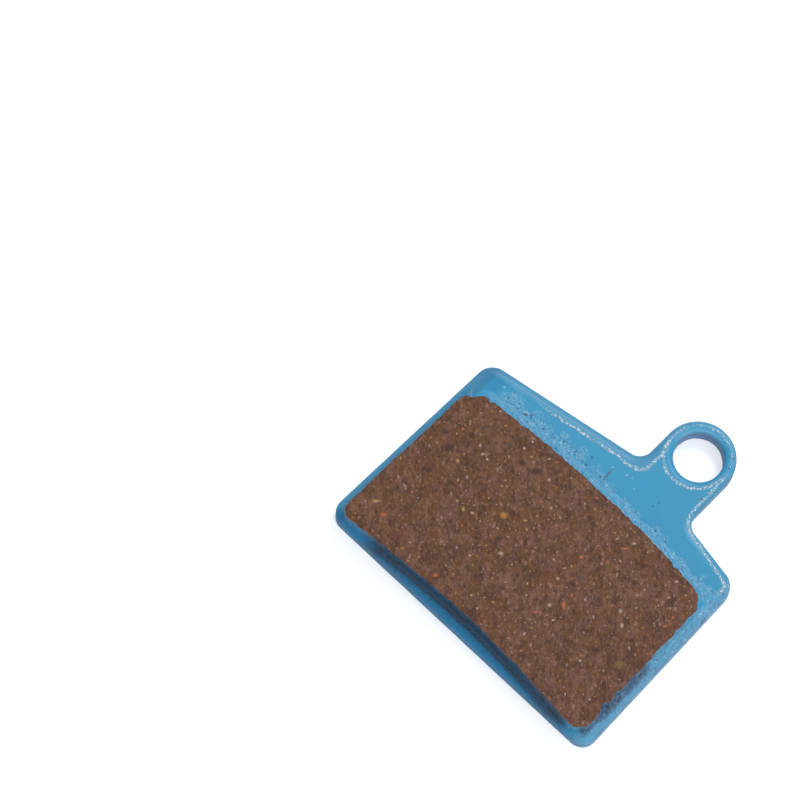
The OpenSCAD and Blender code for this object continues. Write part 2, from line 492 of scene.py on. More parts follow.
@dataclass
class FrictionBlock:
    """The moulded compound: ground face, rough painted walls, flash and the two keying plugs."""

    shape: PlateShape
    pad_t: float = 3.8
    face_w: float = 31.5
    face_h: float = 18.3
    inner_arc_r: float = 110.0
    face_y: float = 1.2
    draft: float = 3.0
    flash_h: float = 0.09
    flash_w: float = 1.2
    flash_end: float = 0.2
    key_recess: float = 0.12
    columns: int = 250
    rows: int = 146
    cut_gap: float = 0.0001
    sliver: float = 0.01
    wall_rows: int = 10
    fillet_rows: int = 4
    flash_rows: int = 8
    embed: float = 0.05
    embed_from: float = 0.8
    rim_reach: float = 0.9
    rim_window: int = 4
    rim_wear: float = 0.06
    rim_waves: tuple[Waves, ...] = (Waves(0.1, 2.6, 2.9), Waves(0.06, 0.8, 1.3))
    rim_grit: Waves = Waves(0.075, 0.32, 5.9)
    ragged_x: Span = (8.0, 10.0)
    ragged_y: Span = (-18.0, -20.0)
    ragged_grit: float = 0.04
    ragged_wear: float = 0.06
    bite_waves: Waves = Waves(0.9, 0.3, 4.7)
    broken_reach: float = 0.3
    broken: Waves = Waves(0.4, 0.55, 8.2)
    broken_above: float = 0.15
    pits: Waves = Waves(0.1, 0.42, 2.4)
    pits_above: float = 0.45
    outer_heading: Span = (0.2, 0.9)
    normal_rounds: int = 5
    fillet_r: float = 0.1
    outer_fillet_more: float = 0.22
    wall_swell: Waves = Waves(0.06, 0.9, 4.4)
    wall_grit: Waves = Waves(0.05, 0.33, 9.1)
    wall_onset: float = 0.25
    wall_margin: float = 0.04
    fillet_margin: float = 0.03
    flash_margin: float = 0.02
    flash_waves: Waves = Waves(0.5, 1.9, 6.3)
    flash_lumps: Waves = Waves(0.03, 0.6, 2.2)
    flash_grit: Waves = Waves(0.02, 0.27, 7.3)
    plug_gap: float = 0.005
    plug_sides: int = 96
    plug_rings: int = 14
    plug_sunk: float = 0.05
    plug_waves: tuple[Waves, ...] = (Waves(0.05, 0.5, 1.7), Waves(0.05, 0.22, 3.9))
    plug_rim: Span = (1.0, 0.9)
    corner_cuts: dict[tuple[int, int], float] = field(
        default_factory=lambda: {(-1, -1): 1.0, (1, -1): 1.25, (1, 1): 1.0, (-1, 1): 1.35}
    )
    bites: list[Bite] = field(
        default_factory=lambda: [
            Bite(-19.95, -11.2, 0.6, 0.25), Bite(-18.1, -10.45, 0.35, 0.22), Bite(-20.1, -16.6, 0.8, 0.2),
            Bite(10.6, -21.2, 0.7, 0.28), Bite(10.85, -23.5, 0.9, 0.22), Bite(10.95, -25.3, 0.8, 0.3),
            Bite(10.6, -15.1, 0.4, 0.14), Bite(10.4, -11.6, 0.5, 0.16), Bite(-12.9, -9.6, 0.4, 0.1),
            Bite(-1.2, -9.7, 0.4, 0.12), Bite(6.1, -10.2, 0.5, 0.12), Bite(0.4, -9.5, 0.9, 0.12),
        ]
    )
    large_grains: dict[Mineral, list[tuple[float, float, float, float]]] = field(
        default_factory=lambda: {
            Mineral.OCHRE: [(-9.18, -18.23, 0.43, 0.41)],
            Mineral.YELLOW: [
                (-12.42, -20.48, 0.17, 0.29), (-16.15, -17.33, 0.21, 0.21), (-11.33, -12.0, 0.14, 0.12),
                (-11.35, -16.16, 0.12, 0.12), (-7.31, -17.12, 0.23, 0.1), (-8.74, -23.42, 0.15, 0.14),
                (-6.43, -14.45, 0.14, 0.19), (-18.99, -25.81, 0.4, 0.2),
            ],
            Mineral.ORANGE: [
                (-18.03, -14.61, 0.21, 0.15), (1.45, -12.46, 0.35, 0.15), (-0.95, -16.03, 0.23, 0.19),
                (1.23, -14.6, 0.15, 0.15), (1.08, -20.7, 0.21, 0.48), (-0.34, -23.15, 0.31, 0.14),
                (1.04, -19.45, 0.14, 0.19), (-1.06, -20.22, 0.17, 0.14), (9.48, -14.24, 0.17, 0.14),
                (-17.13, -22.72, 0.15, 0.14), (-9.72, -27.2, 0.31, 0.19), (-17.54, -26.3, 0.29, 0.23),
            ],
            Mineral.SLATE: [(-13.58, -12.53, 0.5, 0.36), (0.48, -17.56, 0.4, 0.32)],
            Mineral.DARK: [
                (-11.6, -13.15, 0.4, 0.36), (-10.01, -12.67, 0.62, 0.4), (3.9, -12.41, 0.34, 0.28),
                (4.53, -14.25, 0.32, 0.26), (8.2, -18.77, 0.4, 0.3), (-16.95, -14.41, 0.42, 0.38),
                (-17.63, -16.86, 0.55, 0.42), (-17.55, -19.93, 0.45, 0.3), (-18.99, -15.99, 0.36, 0.3),
                (6.4, -21.81, 0.36, 0.3),
            ],
            Mineral.PALE: [
                (-14.89, -15.14, 0.21, 0.15), (-14.22, -15.21, 0.15, 0.15), (-6.74, -21.17, 0.29, 0.17),
                (0.16, -21.67, 0.23, 0.21), (-1.09, -19.18, 0.17, 0.17), (5.45, -17.33, 0.19, 0.23),
                (6.53, -18.28, 0.19, 0.31), (-15.69, -14.65, 0.15, 0.15), (-12.3, -10.8, 0.14, 0.12),
                (-12.42, -11.86, 0.14, 0.15),
            ],
            Mineral.OLIVE: [(8.97, -21.25, 0.6, 0.4)],
        }
    )
    grain_turn: float = 44.0
    grain_spread: float = 1.2
    grain_blur: float = 0.05
    grain_sides: int = 22
    grain_proud: float = 0.006
    grain_deep: float = 0.05
    grain_taper: float = 0.9
    grain_waver: float = 0.3
    grain_bump: float = 0.6
    grain_bump_more: float = 0.02
    grain_seed: float = 6.1
    grain_core: float = 1.7
    chance_seed: int = 11
    small_grains: int = 1200
    small_sides: int = 7
    small_length: float = 0.1
    small_length_more: float = 0.2
    small_width: Span = (0.35, 0.8)
    small_x: Span = (-22, 12)
    small_y: Span = (-30, -8)
    small_margin: float = 0.3
    small_mix: dict[Mineral, int] = field(
        default_factory=lambda: {
            Mineral.DARK: 9, Mineral.SLATE: 2, Mineral.PALE: 8, Mineral.TAN: 8,
            Mineral.YELLOW: 3, Mineral.OCHRE: 3, Mineral.ORANGE: 2,
        }
    )

    def build(self) -> bpy.types.Object:
        """Models the block, whose walls have the first material.

        Returns:
            The finished object.
        """
        mesh = bmesh.new()
        tint = mesh.loops.layers.float_color.new("grain")
        rim = self.ground_face(mesh)
        ground = set(mesh.faces)
        foot = self.lower_walls(mesh, rim)
        RingTools.cap(mesh, [foot], upward=False)
        for face in mesh.faces:
            face.material_index = 1 if face in ground else 0
        bmesh.ops.recalc_face_normals(mesh, faces=mesh.faces)
        coated = set(mesh.faces)
        for centre in self.shape.key_centres():
            self.plug(mesh, centre)
        for loop in (loop for face in mesh.faces for loop in face.loops):
            loop[tint] = (0.0, 0.0, 0.0, 0.0)
        mesh.from_mesh(self.grains())
        for face in mesh.faces:
            if face not in coated:
                face.material_index = 1
        return finished(mesh, "ground_friction_block", sharp_deg=50)

    def arc_y(self, x: float, radius: float) -> float:
        """Returns the height of an arc of the block at x, drawn from the straight edge's middle."""
        return self.face_y - self.inner_arc_r + math.sqrt(radius**2 - x**2)

    def half_at(self, y: float) -> float:
        """Returns half the ground face's length at a height, for its ends run parallel to the flanks."""
        return self.face_w / 2 - (y - self.face_y - self.face_h / 2) * self.shape.flank_lean()

    def arc_centre(self) -> Vector:
        """Returns the centre that the two arcs share."""
        return self.shape.at_pin_hole(0, self.face_y - self.inner_arc_r)

    def ground_face(self, mesh: bmesh.types.BMesh) -> Ring:
        """Bends a grid between the two arcs, cuts its corners and chips its rim.

        Args:
            mesh: the mesh being modelled.

        Returns:
            The rim's ring.
        """
        bmesh.ops.create_grid(mesh, x_segments=self.columns, y_segments=self.rows, size=1.0)
        half, outer_r = self.face_w / 2, self.inner_arc_r + self.face_h
        for vert in mesh.verts:
            across, share = vert.co.x, (vert.co.y + 1) / 2
            low = self.arc_y(across * half, self.inner_arc_r)
            y = low + share * (self.arc_y(across * half, outer_r) - low)
            vert.co = self.shape.at_pin_hole(across * self.half_at(y), y, self.pad_t)
        for (across, up), cut in self.corner_cuts.items():
            y = self.arc_y(half, outer_r if up > 0 else self.inner_arc_r)
            corner = self.shape.at_pin_hole(across * self.half_at(y), y, self.pad_t)
            normal = Vector((across, up, 0)).normalized()
            bmesh.ops.bisect_plane(
                mesh, geom=mesh.verts[:] + mesh.edges[:] + mesh.faces[:], dist=self.cut_gap,
                plane_co=corner - normal * cut / math.sqrt(2), plane_no=normal, clear_outer=True,
            )
        bmesh.ops.remove_doubles(mesh, verts=mesh.verts, dist=self.sliver)
        rim = RingTools.walk([edge for edge in mesh.edges if edge.is_boundary])
        self.wear_rim(mesh, rim)
        return rim

    def rim_moves(self, rim: Ring) -> list[Vector]:
        """Wears the corners of the rim round and breaks its edge away.

        Args:
            rim: the ring round the ground face.

        Returns:
            How far each vertex of the rim moves.
        """
        count, window = len(rim), self.rim_window
        places = [vert.co.copy() for vert in rim]
        moves = []
        for index, (place, normal) in enumerate(zip(places, RingTools.outward(rim))):
            near = [places[(index + step) % count] for step in range(-window, window + 1)]
            rounded = sum(near, Vector()) / len(near) - place
            ragged = smooth_step(*self.ragged_x, place.x) * smooth_step(*self.ragged_y, place.y)
            worn = self.rim_wear
            for waves in self.rim_waves:
                worn += waves.at(place)
            grit = self.rim_grit.height + self.ragged_grit * ragged
            worn += grit * rough(place, self.rim_grit.size, self.rim_grit.seed) + self.ragged_wear * ragged
            for bite in self.bites:
                gap = (place - Vector((bite.x, bite.y, place.z))).length
                worn += bite.depth * smooth_step(bite.radius, 0.0, gap) * (1 + self.bite_waves.at(place))
            moves.append(rounded - normal * max(0.0, worn))
        return moves

    def wear_rim(self, mesh: bmesh.types.BMesh, rim: Ring) -> None:
        """Wears the rim of the ground face, eases the face behind it and pits the face.

        Args:
            mesh: the mesh being modelled.
            rim: the ring round the ground face.
        """
        reach = self.rim_reach
        outline = [vert.co.copy() for vert in rim]
        moves = self.rim_moves(rim)
        cells: dict[tuple[int, int], list[int]] = {}
        for index, place in enumerate(outline):
            cells.setdefault((int(place.x // reach), int(place.y // reach)), []).append(index)
        for vert in mesh.verts:
            column, row = int(vert.co.x // reach), int(vert.co.y // reach)
            nearby = [(column + dx, row + dy) for dx in (-1, 0, 1) for dy in (-1, 0, 1)]
            around = [index for cell in nearby for index in cells.get(cell, ())]
            place = vert.co.copy()
            if around:
                nearest = min(around, key=lambda index: (outline[index] - place).length_squared)
                gap = (outline[nearest] - place).length
                vert.co += moves[nearest] * smooth_step(reach, 0.0, gap)
                if gap < self.broken_reach:
                    near = smooth_step(self.broken_reach, 0.0, gap)
                    vert.co.z -= self.broken.peaks(place, self.broken_above) * near
            vert.co.z -= self.pits.peaks(place, self.pits_above)

    def lower_walls(self, mesh: bmesh.types.BMesh, rim: Ring) -> Ring:
        """Extrudes the rim down the drafted walls, round a fillet and out over the flash.

        Args:
            mesh: the mesh being modelled.
            rim: the ring round the ground face.

        Returns:
            The ring at the block's foot.
        """
        start = [vert.co.copy() for vert in rim]
        normals = RingTools.outward(rim)
        for _ in range(self.normal_rounds):
            spread = zip(normals[-1:] + normals[:-1], normals, normals[1:] + normals[:1])
            normals = [(a + b + c).normalized() for a, b, c in spread]
        ring = rim
        for step in range(1, self.wall_rows + self.fillet_rows + self.flash_rows + 1):
            ring = RingTools.extrude(mesh, ring)
            for vert, place, normal in zip(ring, start, normals):
                vert.co = self.wall_point(place, normal, step)
        ring = RingTools.extrude(mesh, ring)
        for vert in ring:
            vert.co.z = self.shape.thickness - self.shape.roll
        return ring

    def wall_point(self, place: Vector, normal: Vector, step: int) -> Vector:
        """Places a point of the wall, its fillet or the flash.

        Args:
            place: the rim's point above it.
            normal: the direction out of the block.
            step: the number of rows below the rim.

        Returns:
            The point.
        """
        outer_side = smooth_step(*self.outer_heading, normal.y)
        lean = math.tan(math.radians(self.draft))
        fillet = self.fillet_r + self.outer_fillet_more * outer_side
        foot = place + normal * lean * (self.pad_t - self.shape.thickness)
        ground = self.shape.surface(foot) + self.flash_h
        rows = step - self.wall_rows
        if rows <= 0:
            share = step / self.wall_rows
            fall = (place.z - ground - fillet) * share
            spot = place + normal * lean * fall - Vector((0, 0, fall))
            bulge = self.wall_swell.at(spot) + self.wall_grit.at(spot)
            onset = smooth_step(0.0, self.wall_onset, share)
            return self.shape.held_in(spot + normal * bulge * onset, self.wall_margin)
        if rows <= self.fillet_rows:
            angle = math.pi / 2 * rows / self.fillet_rows
            spot = foot + normal * fillet * (1 - math.cos(angle))
            bulge = self.wall_swell.at(spot) * (1 - rows / self.fillet_rows)
            spot = self.shape.held_in(spot + normal * bulge, self.fillet_margin)
            spot.z = ground + fillet * (1 - math.sin(angle))
            return spot
        share = (rows - self.fillet_rows) / self.flash_rows
        width = self.flash_end + (self.flash_w - self.flash_end) * outer_side
        width *= 1 + self.flash_waves.at(place) * outer_side
        spot = self.shape.held_in(foot + normal * (fillet + width * share), self.flash_margin)
        lumps = (self.flash_lumps.at(spot) + self.flash_grit.at(spot)) * outer_side
        sunk = self.embed * smooth_step(self.embed_from, 1.0, share)
        spot.z = self.shape.surface(spot) + (self.flash_h + lumps) * smooth_step(1.0, 0.0, share) - sunk
        return spot

    def plug(self, mesh: bmesh.types.BMesh, centre: Vector) -> None:
        """Fills a keying hole with compound that stops short of the back face.

        Args:
            mesh: the mesh being modelled.
            centre: the hole's centre.
        """
        radius, top = self.shape.key_r - self.plug_gap, self.shape.thickness
        made = bmesh.ops.create_cone(
            mesh, cap_ends=True, segments=self.plug_sides, radius1=radius, radius2=radius,
            depth=top - self.key_recess,
            matrix=Matrix.Translation(centre + Vector((0, 0, (top + self.key_recess) / 2))),
        )["verts"]
        low = next(face for vert in made for face in vert.link_faces if face.normal.z < -LEVEL)
        for _ in range(self.plug_rings):
            bmesh.ops.inset_region(
                mesh, faces=[low], thickness=radius / (self.plug_rings + 1), use_even_offset=True
            )
        spots = set(low.verts)
        frontier = set(spots)
        while frontier:
            beside = {edge.other_vert(vert) for vert in frontier for edge in vert.link_edges}
            frontier = {vert for vert in beside if vert.co.z < self.key_recess + WELD} - spots
            spots |= frontier
        for vert in spots:
            out = (vert.co - centre).to_2d().length / radius
            sunk = self.plug_sunk
            for waves in self.plug_waves:
                sunk += waves.at(vert.co)
            vert.co.z += sunk * smooth_step(*self.plug_rim, out)

    def inside_face(self, x: float, y: float, margin: float) -> bool:
        """Tells whether a point is on the ground face.

        Args:
            x: its X in the pin hole's frame.
            y: its Y.
            margin: how far it has to be from the rim.

        Returns:
            Whether it is.
        """
        x, y = x + self.shape.ear_x, y + self.shape.ear_h
        half = self.half_at(y) - margin
        low = self.arc_y(min(abs(x), half), self.inner_arc_r) + margin
        high = self.arc_y(min(abs(x), half), self.inner_arc_r + self.face_h) - margin
        corner = half - abs(x) + min(y - low, high - y)
        return abs(x) < half and low < y < high and corner > max(self.corner_cuts.values())

    def grains(self) -> bpy.types.Mesh:
        """Models the grains in the ground face: the large ones as listed, the small ones at random.

        Returns:
            Their mesh.
        """
        mesh = bmesh.new()
        tint = mesh.loops.layers.float_color.new("grain")
        set_in = []
        for mineral, places in self.large_grains.items():
            for x, y, length, width in places:
                spread = self.grain_spread + self.grain_blur / (length + width)
                set_in.append(Grain(mineral, x, y, spread * length, spread * width, self.grain_turn))
                self.set_grain(mesh, tint, set_in[-1], self.grain_sides)
        dice = random.Random(self.chance_seed)
        mix = [mineral for mineral, count in self.small_mix.items() for _ in range(count)]
        left = self.small_grains
        while left:
            x, y = dice.uniform(*self.small_x), dice.uniform(*self.small_y)
            length = self.small_length + self.small_length_more * dice.random() ** 3
            mineral, width = dice.choice(mix), length * dice.uniform(*self.small_width)
            grain = Grain(mineral, x, y, length, width, dice.uniform(0, 180))
            crowded = any(grain.touches(other) for other in set_in)
            if self.inside_face(x, y, self.small_margin) and not crowded:
                set_in.append(grain)
                self.set_grain(mesh, tint, grain, self.small_sides)
                left -= 1
        data = bpy.data.meshes.new("grains")
        mesh.to_mesh(data)
        mesh.free()
        return data

    def set_grain(
        self, mesh: bmesh.types.BMesh, tint: bmesh.types.BMLayerItem, grain: Grain, sides: int
    ) -> None:
        """Sets one grain flush in the ground face, as a low cut stone with an uneven outline.

        Args:
            mesh: the mesh being modelled.
            tint: the layer that holds its colour.
            grain: the grain.
            sides: how many sides it has.
        """
        proud, deep = self.grain_proud, self.grain_deep
        turn = Matrix.Rotation(math.radians(grain.turn), 4, "Z")
        place = Matrix.Translation((grain.x, grain.y, self.pad_t + (proud - deep) / 2))
        made = bmesh.ops.create_cone(
            mesh, cap_ends=True, segments=sides, radius1=1.0, radius2=self.grain_taper, depth=proud + deep,
            matrix=place @ turn @ Matrix.Diagonal((grain.length, grain.width, 1, 1)),
        )["verts"]
        size = self.grain_bump * grain.length + self.grain_bump_more
        for vert in made:
            away = vert.co - Vector((grain.x, grain.y, vert.co.z))
            level = Vector((vert.co.x, vert.co.y, 0))
            vert.co += away * self.grain_waver * rough(level + away, size, self.grain_seed)
        faces = list(dict.fromkeys(face for vert in made for face in vert.link_faces))
        for face in faces:
            for loop in face.loops:
                loop[tint] = (*grain.mineral.value, 0.0)
        top = [face for face in faces if face.normal.z > LEVEL]
        core = bmesh.ops.poke(mesh, faces=top)["verts"][0]
        for loop in core.link_loops:
            loop[tint] = (*grain.mineral.value, self.grain_core)


@dataclass(frozen=True)
class Mark:
    """An oval mark on the coat, with its half lengths in millimetres and its turn in degrees."""

    x: float
    y: float
    length: float
    width: float
    turn: float = 0.0


class Graph:
    """Places nodes in one node tree and links them."""

    def __init__(self, tree: bpy.types.NodeTree) -> None:
        """Starts on an empty tree."""
        self.tree = tree

    def node(self, kind: str, **settings: object) -> bpy.types.Node:
        """Places a node and gives it its settings.

        Args:
            kind: the node's type.
            settings: its properties, by name.

        Returns:
            The node.
        """
        made = self.tree.nodes.new(kind)
        for name, value in settings.items():
            setattr(made, name, value)
        return made

    def feed(self, socket: Socket, value: Value) -> None:
        """Links a socket to another one, or sets its plain value.

        Args:
            socket: the input.
            value: another socket, a number or a colour.
        """
        if isinstance(value, bpy.types.NodeSocket):
            self.tree.links.new(value, socket)
        elif isinstance(value, tuple) and socket.type == "RGBA" and len(value) == 3:
            socket.default_value = (*value, 1.0)
        else:
            socket.default_value = value

    def math(self, operation: str, *values: Value) -> Socket:
        """Places a Math node.

        Args:
            operation: what it works out.
            values: its inputs, in order.

        Returns:
            Its result.
        """
        made = self.node("ShaderNodeMath", operation=operation)
        for socket, value in zip(made.inputs, values):
            self.feed(socket, value)
        return made.outputs[0]

    def vector(self, operation: str, *values: Value) -> bpy.types.Node:
        """Places a Vector Math node.

        Args:
            operation: what it works out.
            values: its inputs, in order.

        Returns:
            The node.
        """
        made = self.node("ShaderNodeVectorMath", operation=operation)
        for socket, value in zip(made.inputs, values):
            self.feed(socket, value)
        return made

    def distance(self, place: Socket, other: Vector) -> Socket:
        """Returns the distance from a place to a fixed point."""
        return self.vector("DISTANCE", place, tuple(other)).outputs["Value"]

    def scaled(self, place: Socket, factor: float) -> Socket:
        """Multiplies a vector by a plain number.

        Args:
            place: the vector.
            factor: the number.

        Returns:
            The product.
        """
        made = self.node("ShaderNodeVectorMath", operation="SCALE")
        self.feed(made.inputs[0], place)
        self.feed(made.inputs["Scale"], factor)
        return made.outputs[0]

    def step(self, value: Value, low: float, high: float, to: Span = (0.0, 1.0)) -> Socket:
        """Makes a smooth step between two values of its input.

        Args:
            value: the input.
            low: where it starts.
            high: where it is complete, which may be lower.
            to: its first and last result.

        Returns:
            The result.
        """
        made = self.node("ShaderNodeMapRange", interpolation_type="SMOOTHSTEP")
        names = ("Value", "From Min", "From Max", "To Min", "To Max")
        for name, given in zip(names, (value, low, high, *to)):
            self.feed(made.inputs[name], given)
        return made.outputs[0]

    def mix(self, share: Value, first: Value, second: Value) -> Socket:
        """Mixes two colours.

        Args:
            share: how much there is of the second.
            first: the first colour.
            second: the second colour.

        Returns:
            The mixed colour.
        """
        made = self.node("ShaderNodeMix", data_type="RGBA")
        for index, given in ((0, share), (6, first), (7, second)):
            self.feed(made.inputs[index], given)
        return made.outputs[2]

    def noise(self, place: Socket, size: float, detail: float = 2.0, roughness: float = 0.5) -> Socket:
        """Places noise.

        Args:
            place: where it is read.
            size: the width of its bumps, in millimetres.
            detail: how many finer layers it has.
            roughness: how strong they are.

        Returns:
            Its value, from 0 to 1.
        """
        made = self.node("ShaderNodeTexNoise")
        names = ("Vector", "Scale", "Detail", "Roughness")
        for name, given in zip(names, (place, 1 / size, detail, roughness)):
            self.feed(made.inputs[name], given)
        return made.outputs["Fac"]

    def cells(self, place: Socket, size: float, feature: str = "F1") -> bpy.types.Node:
        """Places a flat Voronoi texture.

        Args:
            place: where it is read.
            size: the width of its cells, in millimetres.
            feature: what it measures.

        Returns:
            The node.
        """
        made = self.node("ShaderNodeTexVoronoi", feature=feature, voronoi_dimensions="2D")
        self.feed(made.inputs["Vector"], place)
        self.feed(made.inputs["Scale"], 1 / size)
        return made

    def times(self, *values: Value) -> Socket:
        """Multiplies two or more values.

        Args:
            values: the values.

        Returns:
            Their product.
        """
        product = values[0]
        for value in values[1:]:
            product = self.math("MULTIPLY", product, value)
        return product

    def highest(self, *values: Value) -> Socket:
        """Picks the greatest of two or more values.

        Args:
            values: the values.

        Returns:
            The greatest.
        """
        top = values[0]
        for value in values[1:]:
            top = self.math("MAXIMUM", top, value)
        return top

    def warped(self, place: Socket, size: float, reach: float) -> Socket:
        """Shifts a place by noise, so that what is drawn on it wavers.

        Args:
            place: the place on the object, in millimetres.
            size: the width of the noise's bumps, in millimetres.
            reach: the width of the shift.

        Returns:
            The shifted place.
        """
        warp = self.node("ShaderNodeTexNoise")
        self.feed(warp.inputs["Vector"], place)
        self.feed(warp.inputs["Scale"], 1 / size)
        centred = self.vector("SUBTRACT", warp.outputs["Color"], (0.5, 0.5, 0.5)).outputs[0]
        return self.vector("ADD", place, self.scaled(centred, reach)).outputs[0]

    def mark(self, place: Socket, mark: Mark, soft: float = 0.3) -> Socket:
        """Draws one small oval mark on the coat.

        Args:
            place: the place on the object, in millimetres and level.
            mark: where the mark is and how large.
            soft: the share of its radius over which it fades.

        Returns:
            Its mask.
        """
        turned = self.node("ShaderNodeMapping", vector_type="TEXTURE")
        self.feed(turned.inputs["Vector"], place)
        self.feed(turned.inputs["Location"], (mark.x, mark.y, 0.0))
        self.feed(turned.inputs["Rotation"], (0.0, 0.0, math.radians(mark.turn)))
        self.feed(turned.inputs["Scale"], (mark.length, mark.width, 1.0))
        away = self.vector("LENGTH", turned.outputs[0]).outputs["Value"]
        return self.step(away, 1 + soft, 1 - soft)

    def marks(self, place: Socket, marks: tuple[Mark, ...], soft: float = 0.3) -> Socket:
        """Returns the mask of several marks."""
        return self.highest(*(self.mark(place, mark, soft) for mark in marks))

    def millimetres(self) -> Socket:
        """Returns the place on the object, in millimetres."""
        return self.scaled(self.node("ShaderNodeTexCoord").outputs["Object"], 1 / MM)

    def drawn_out(self, place: Socket, share: float) -> Socket:
        """Returns a place with its height scaled, so that what is drawn on it grows taller."""
        return self.vector("MULTIPLY", place, (1.0, 1.0, share)).outputs[0]

    def level(self, place: Socket) -> Socket:
        """Returns a place with its height taken off."""
        return self.drawn_out(place, 0.0)

    def parts(self, place: Socket) -> tuple[Socket, Socket, Socket]:
        """Takes a vector apart.

        Args:
            place: the vector.

        Returns:
            Its X, Y and Z.
        """
        made = self.node("ShaderNodeSeparateXYZ")
        self.feed(made.inputs[0], place)
        return made.outputs[0], made.outputs[1], made.outputs[2]

    def group(self, shared: bpy.types.NodeTree, **values: Value) -> bpy.types.Node:
        """Places a shared node group.

        Args:
            shared: the group.
            values: its inputs, by name.

        Returns:
            The node.
        """
        made = self.node("ShaderNodeGroup", node_tree=shared)
        for name, value in values.items():
            self.feed(made.inputs[name], value)
        return made


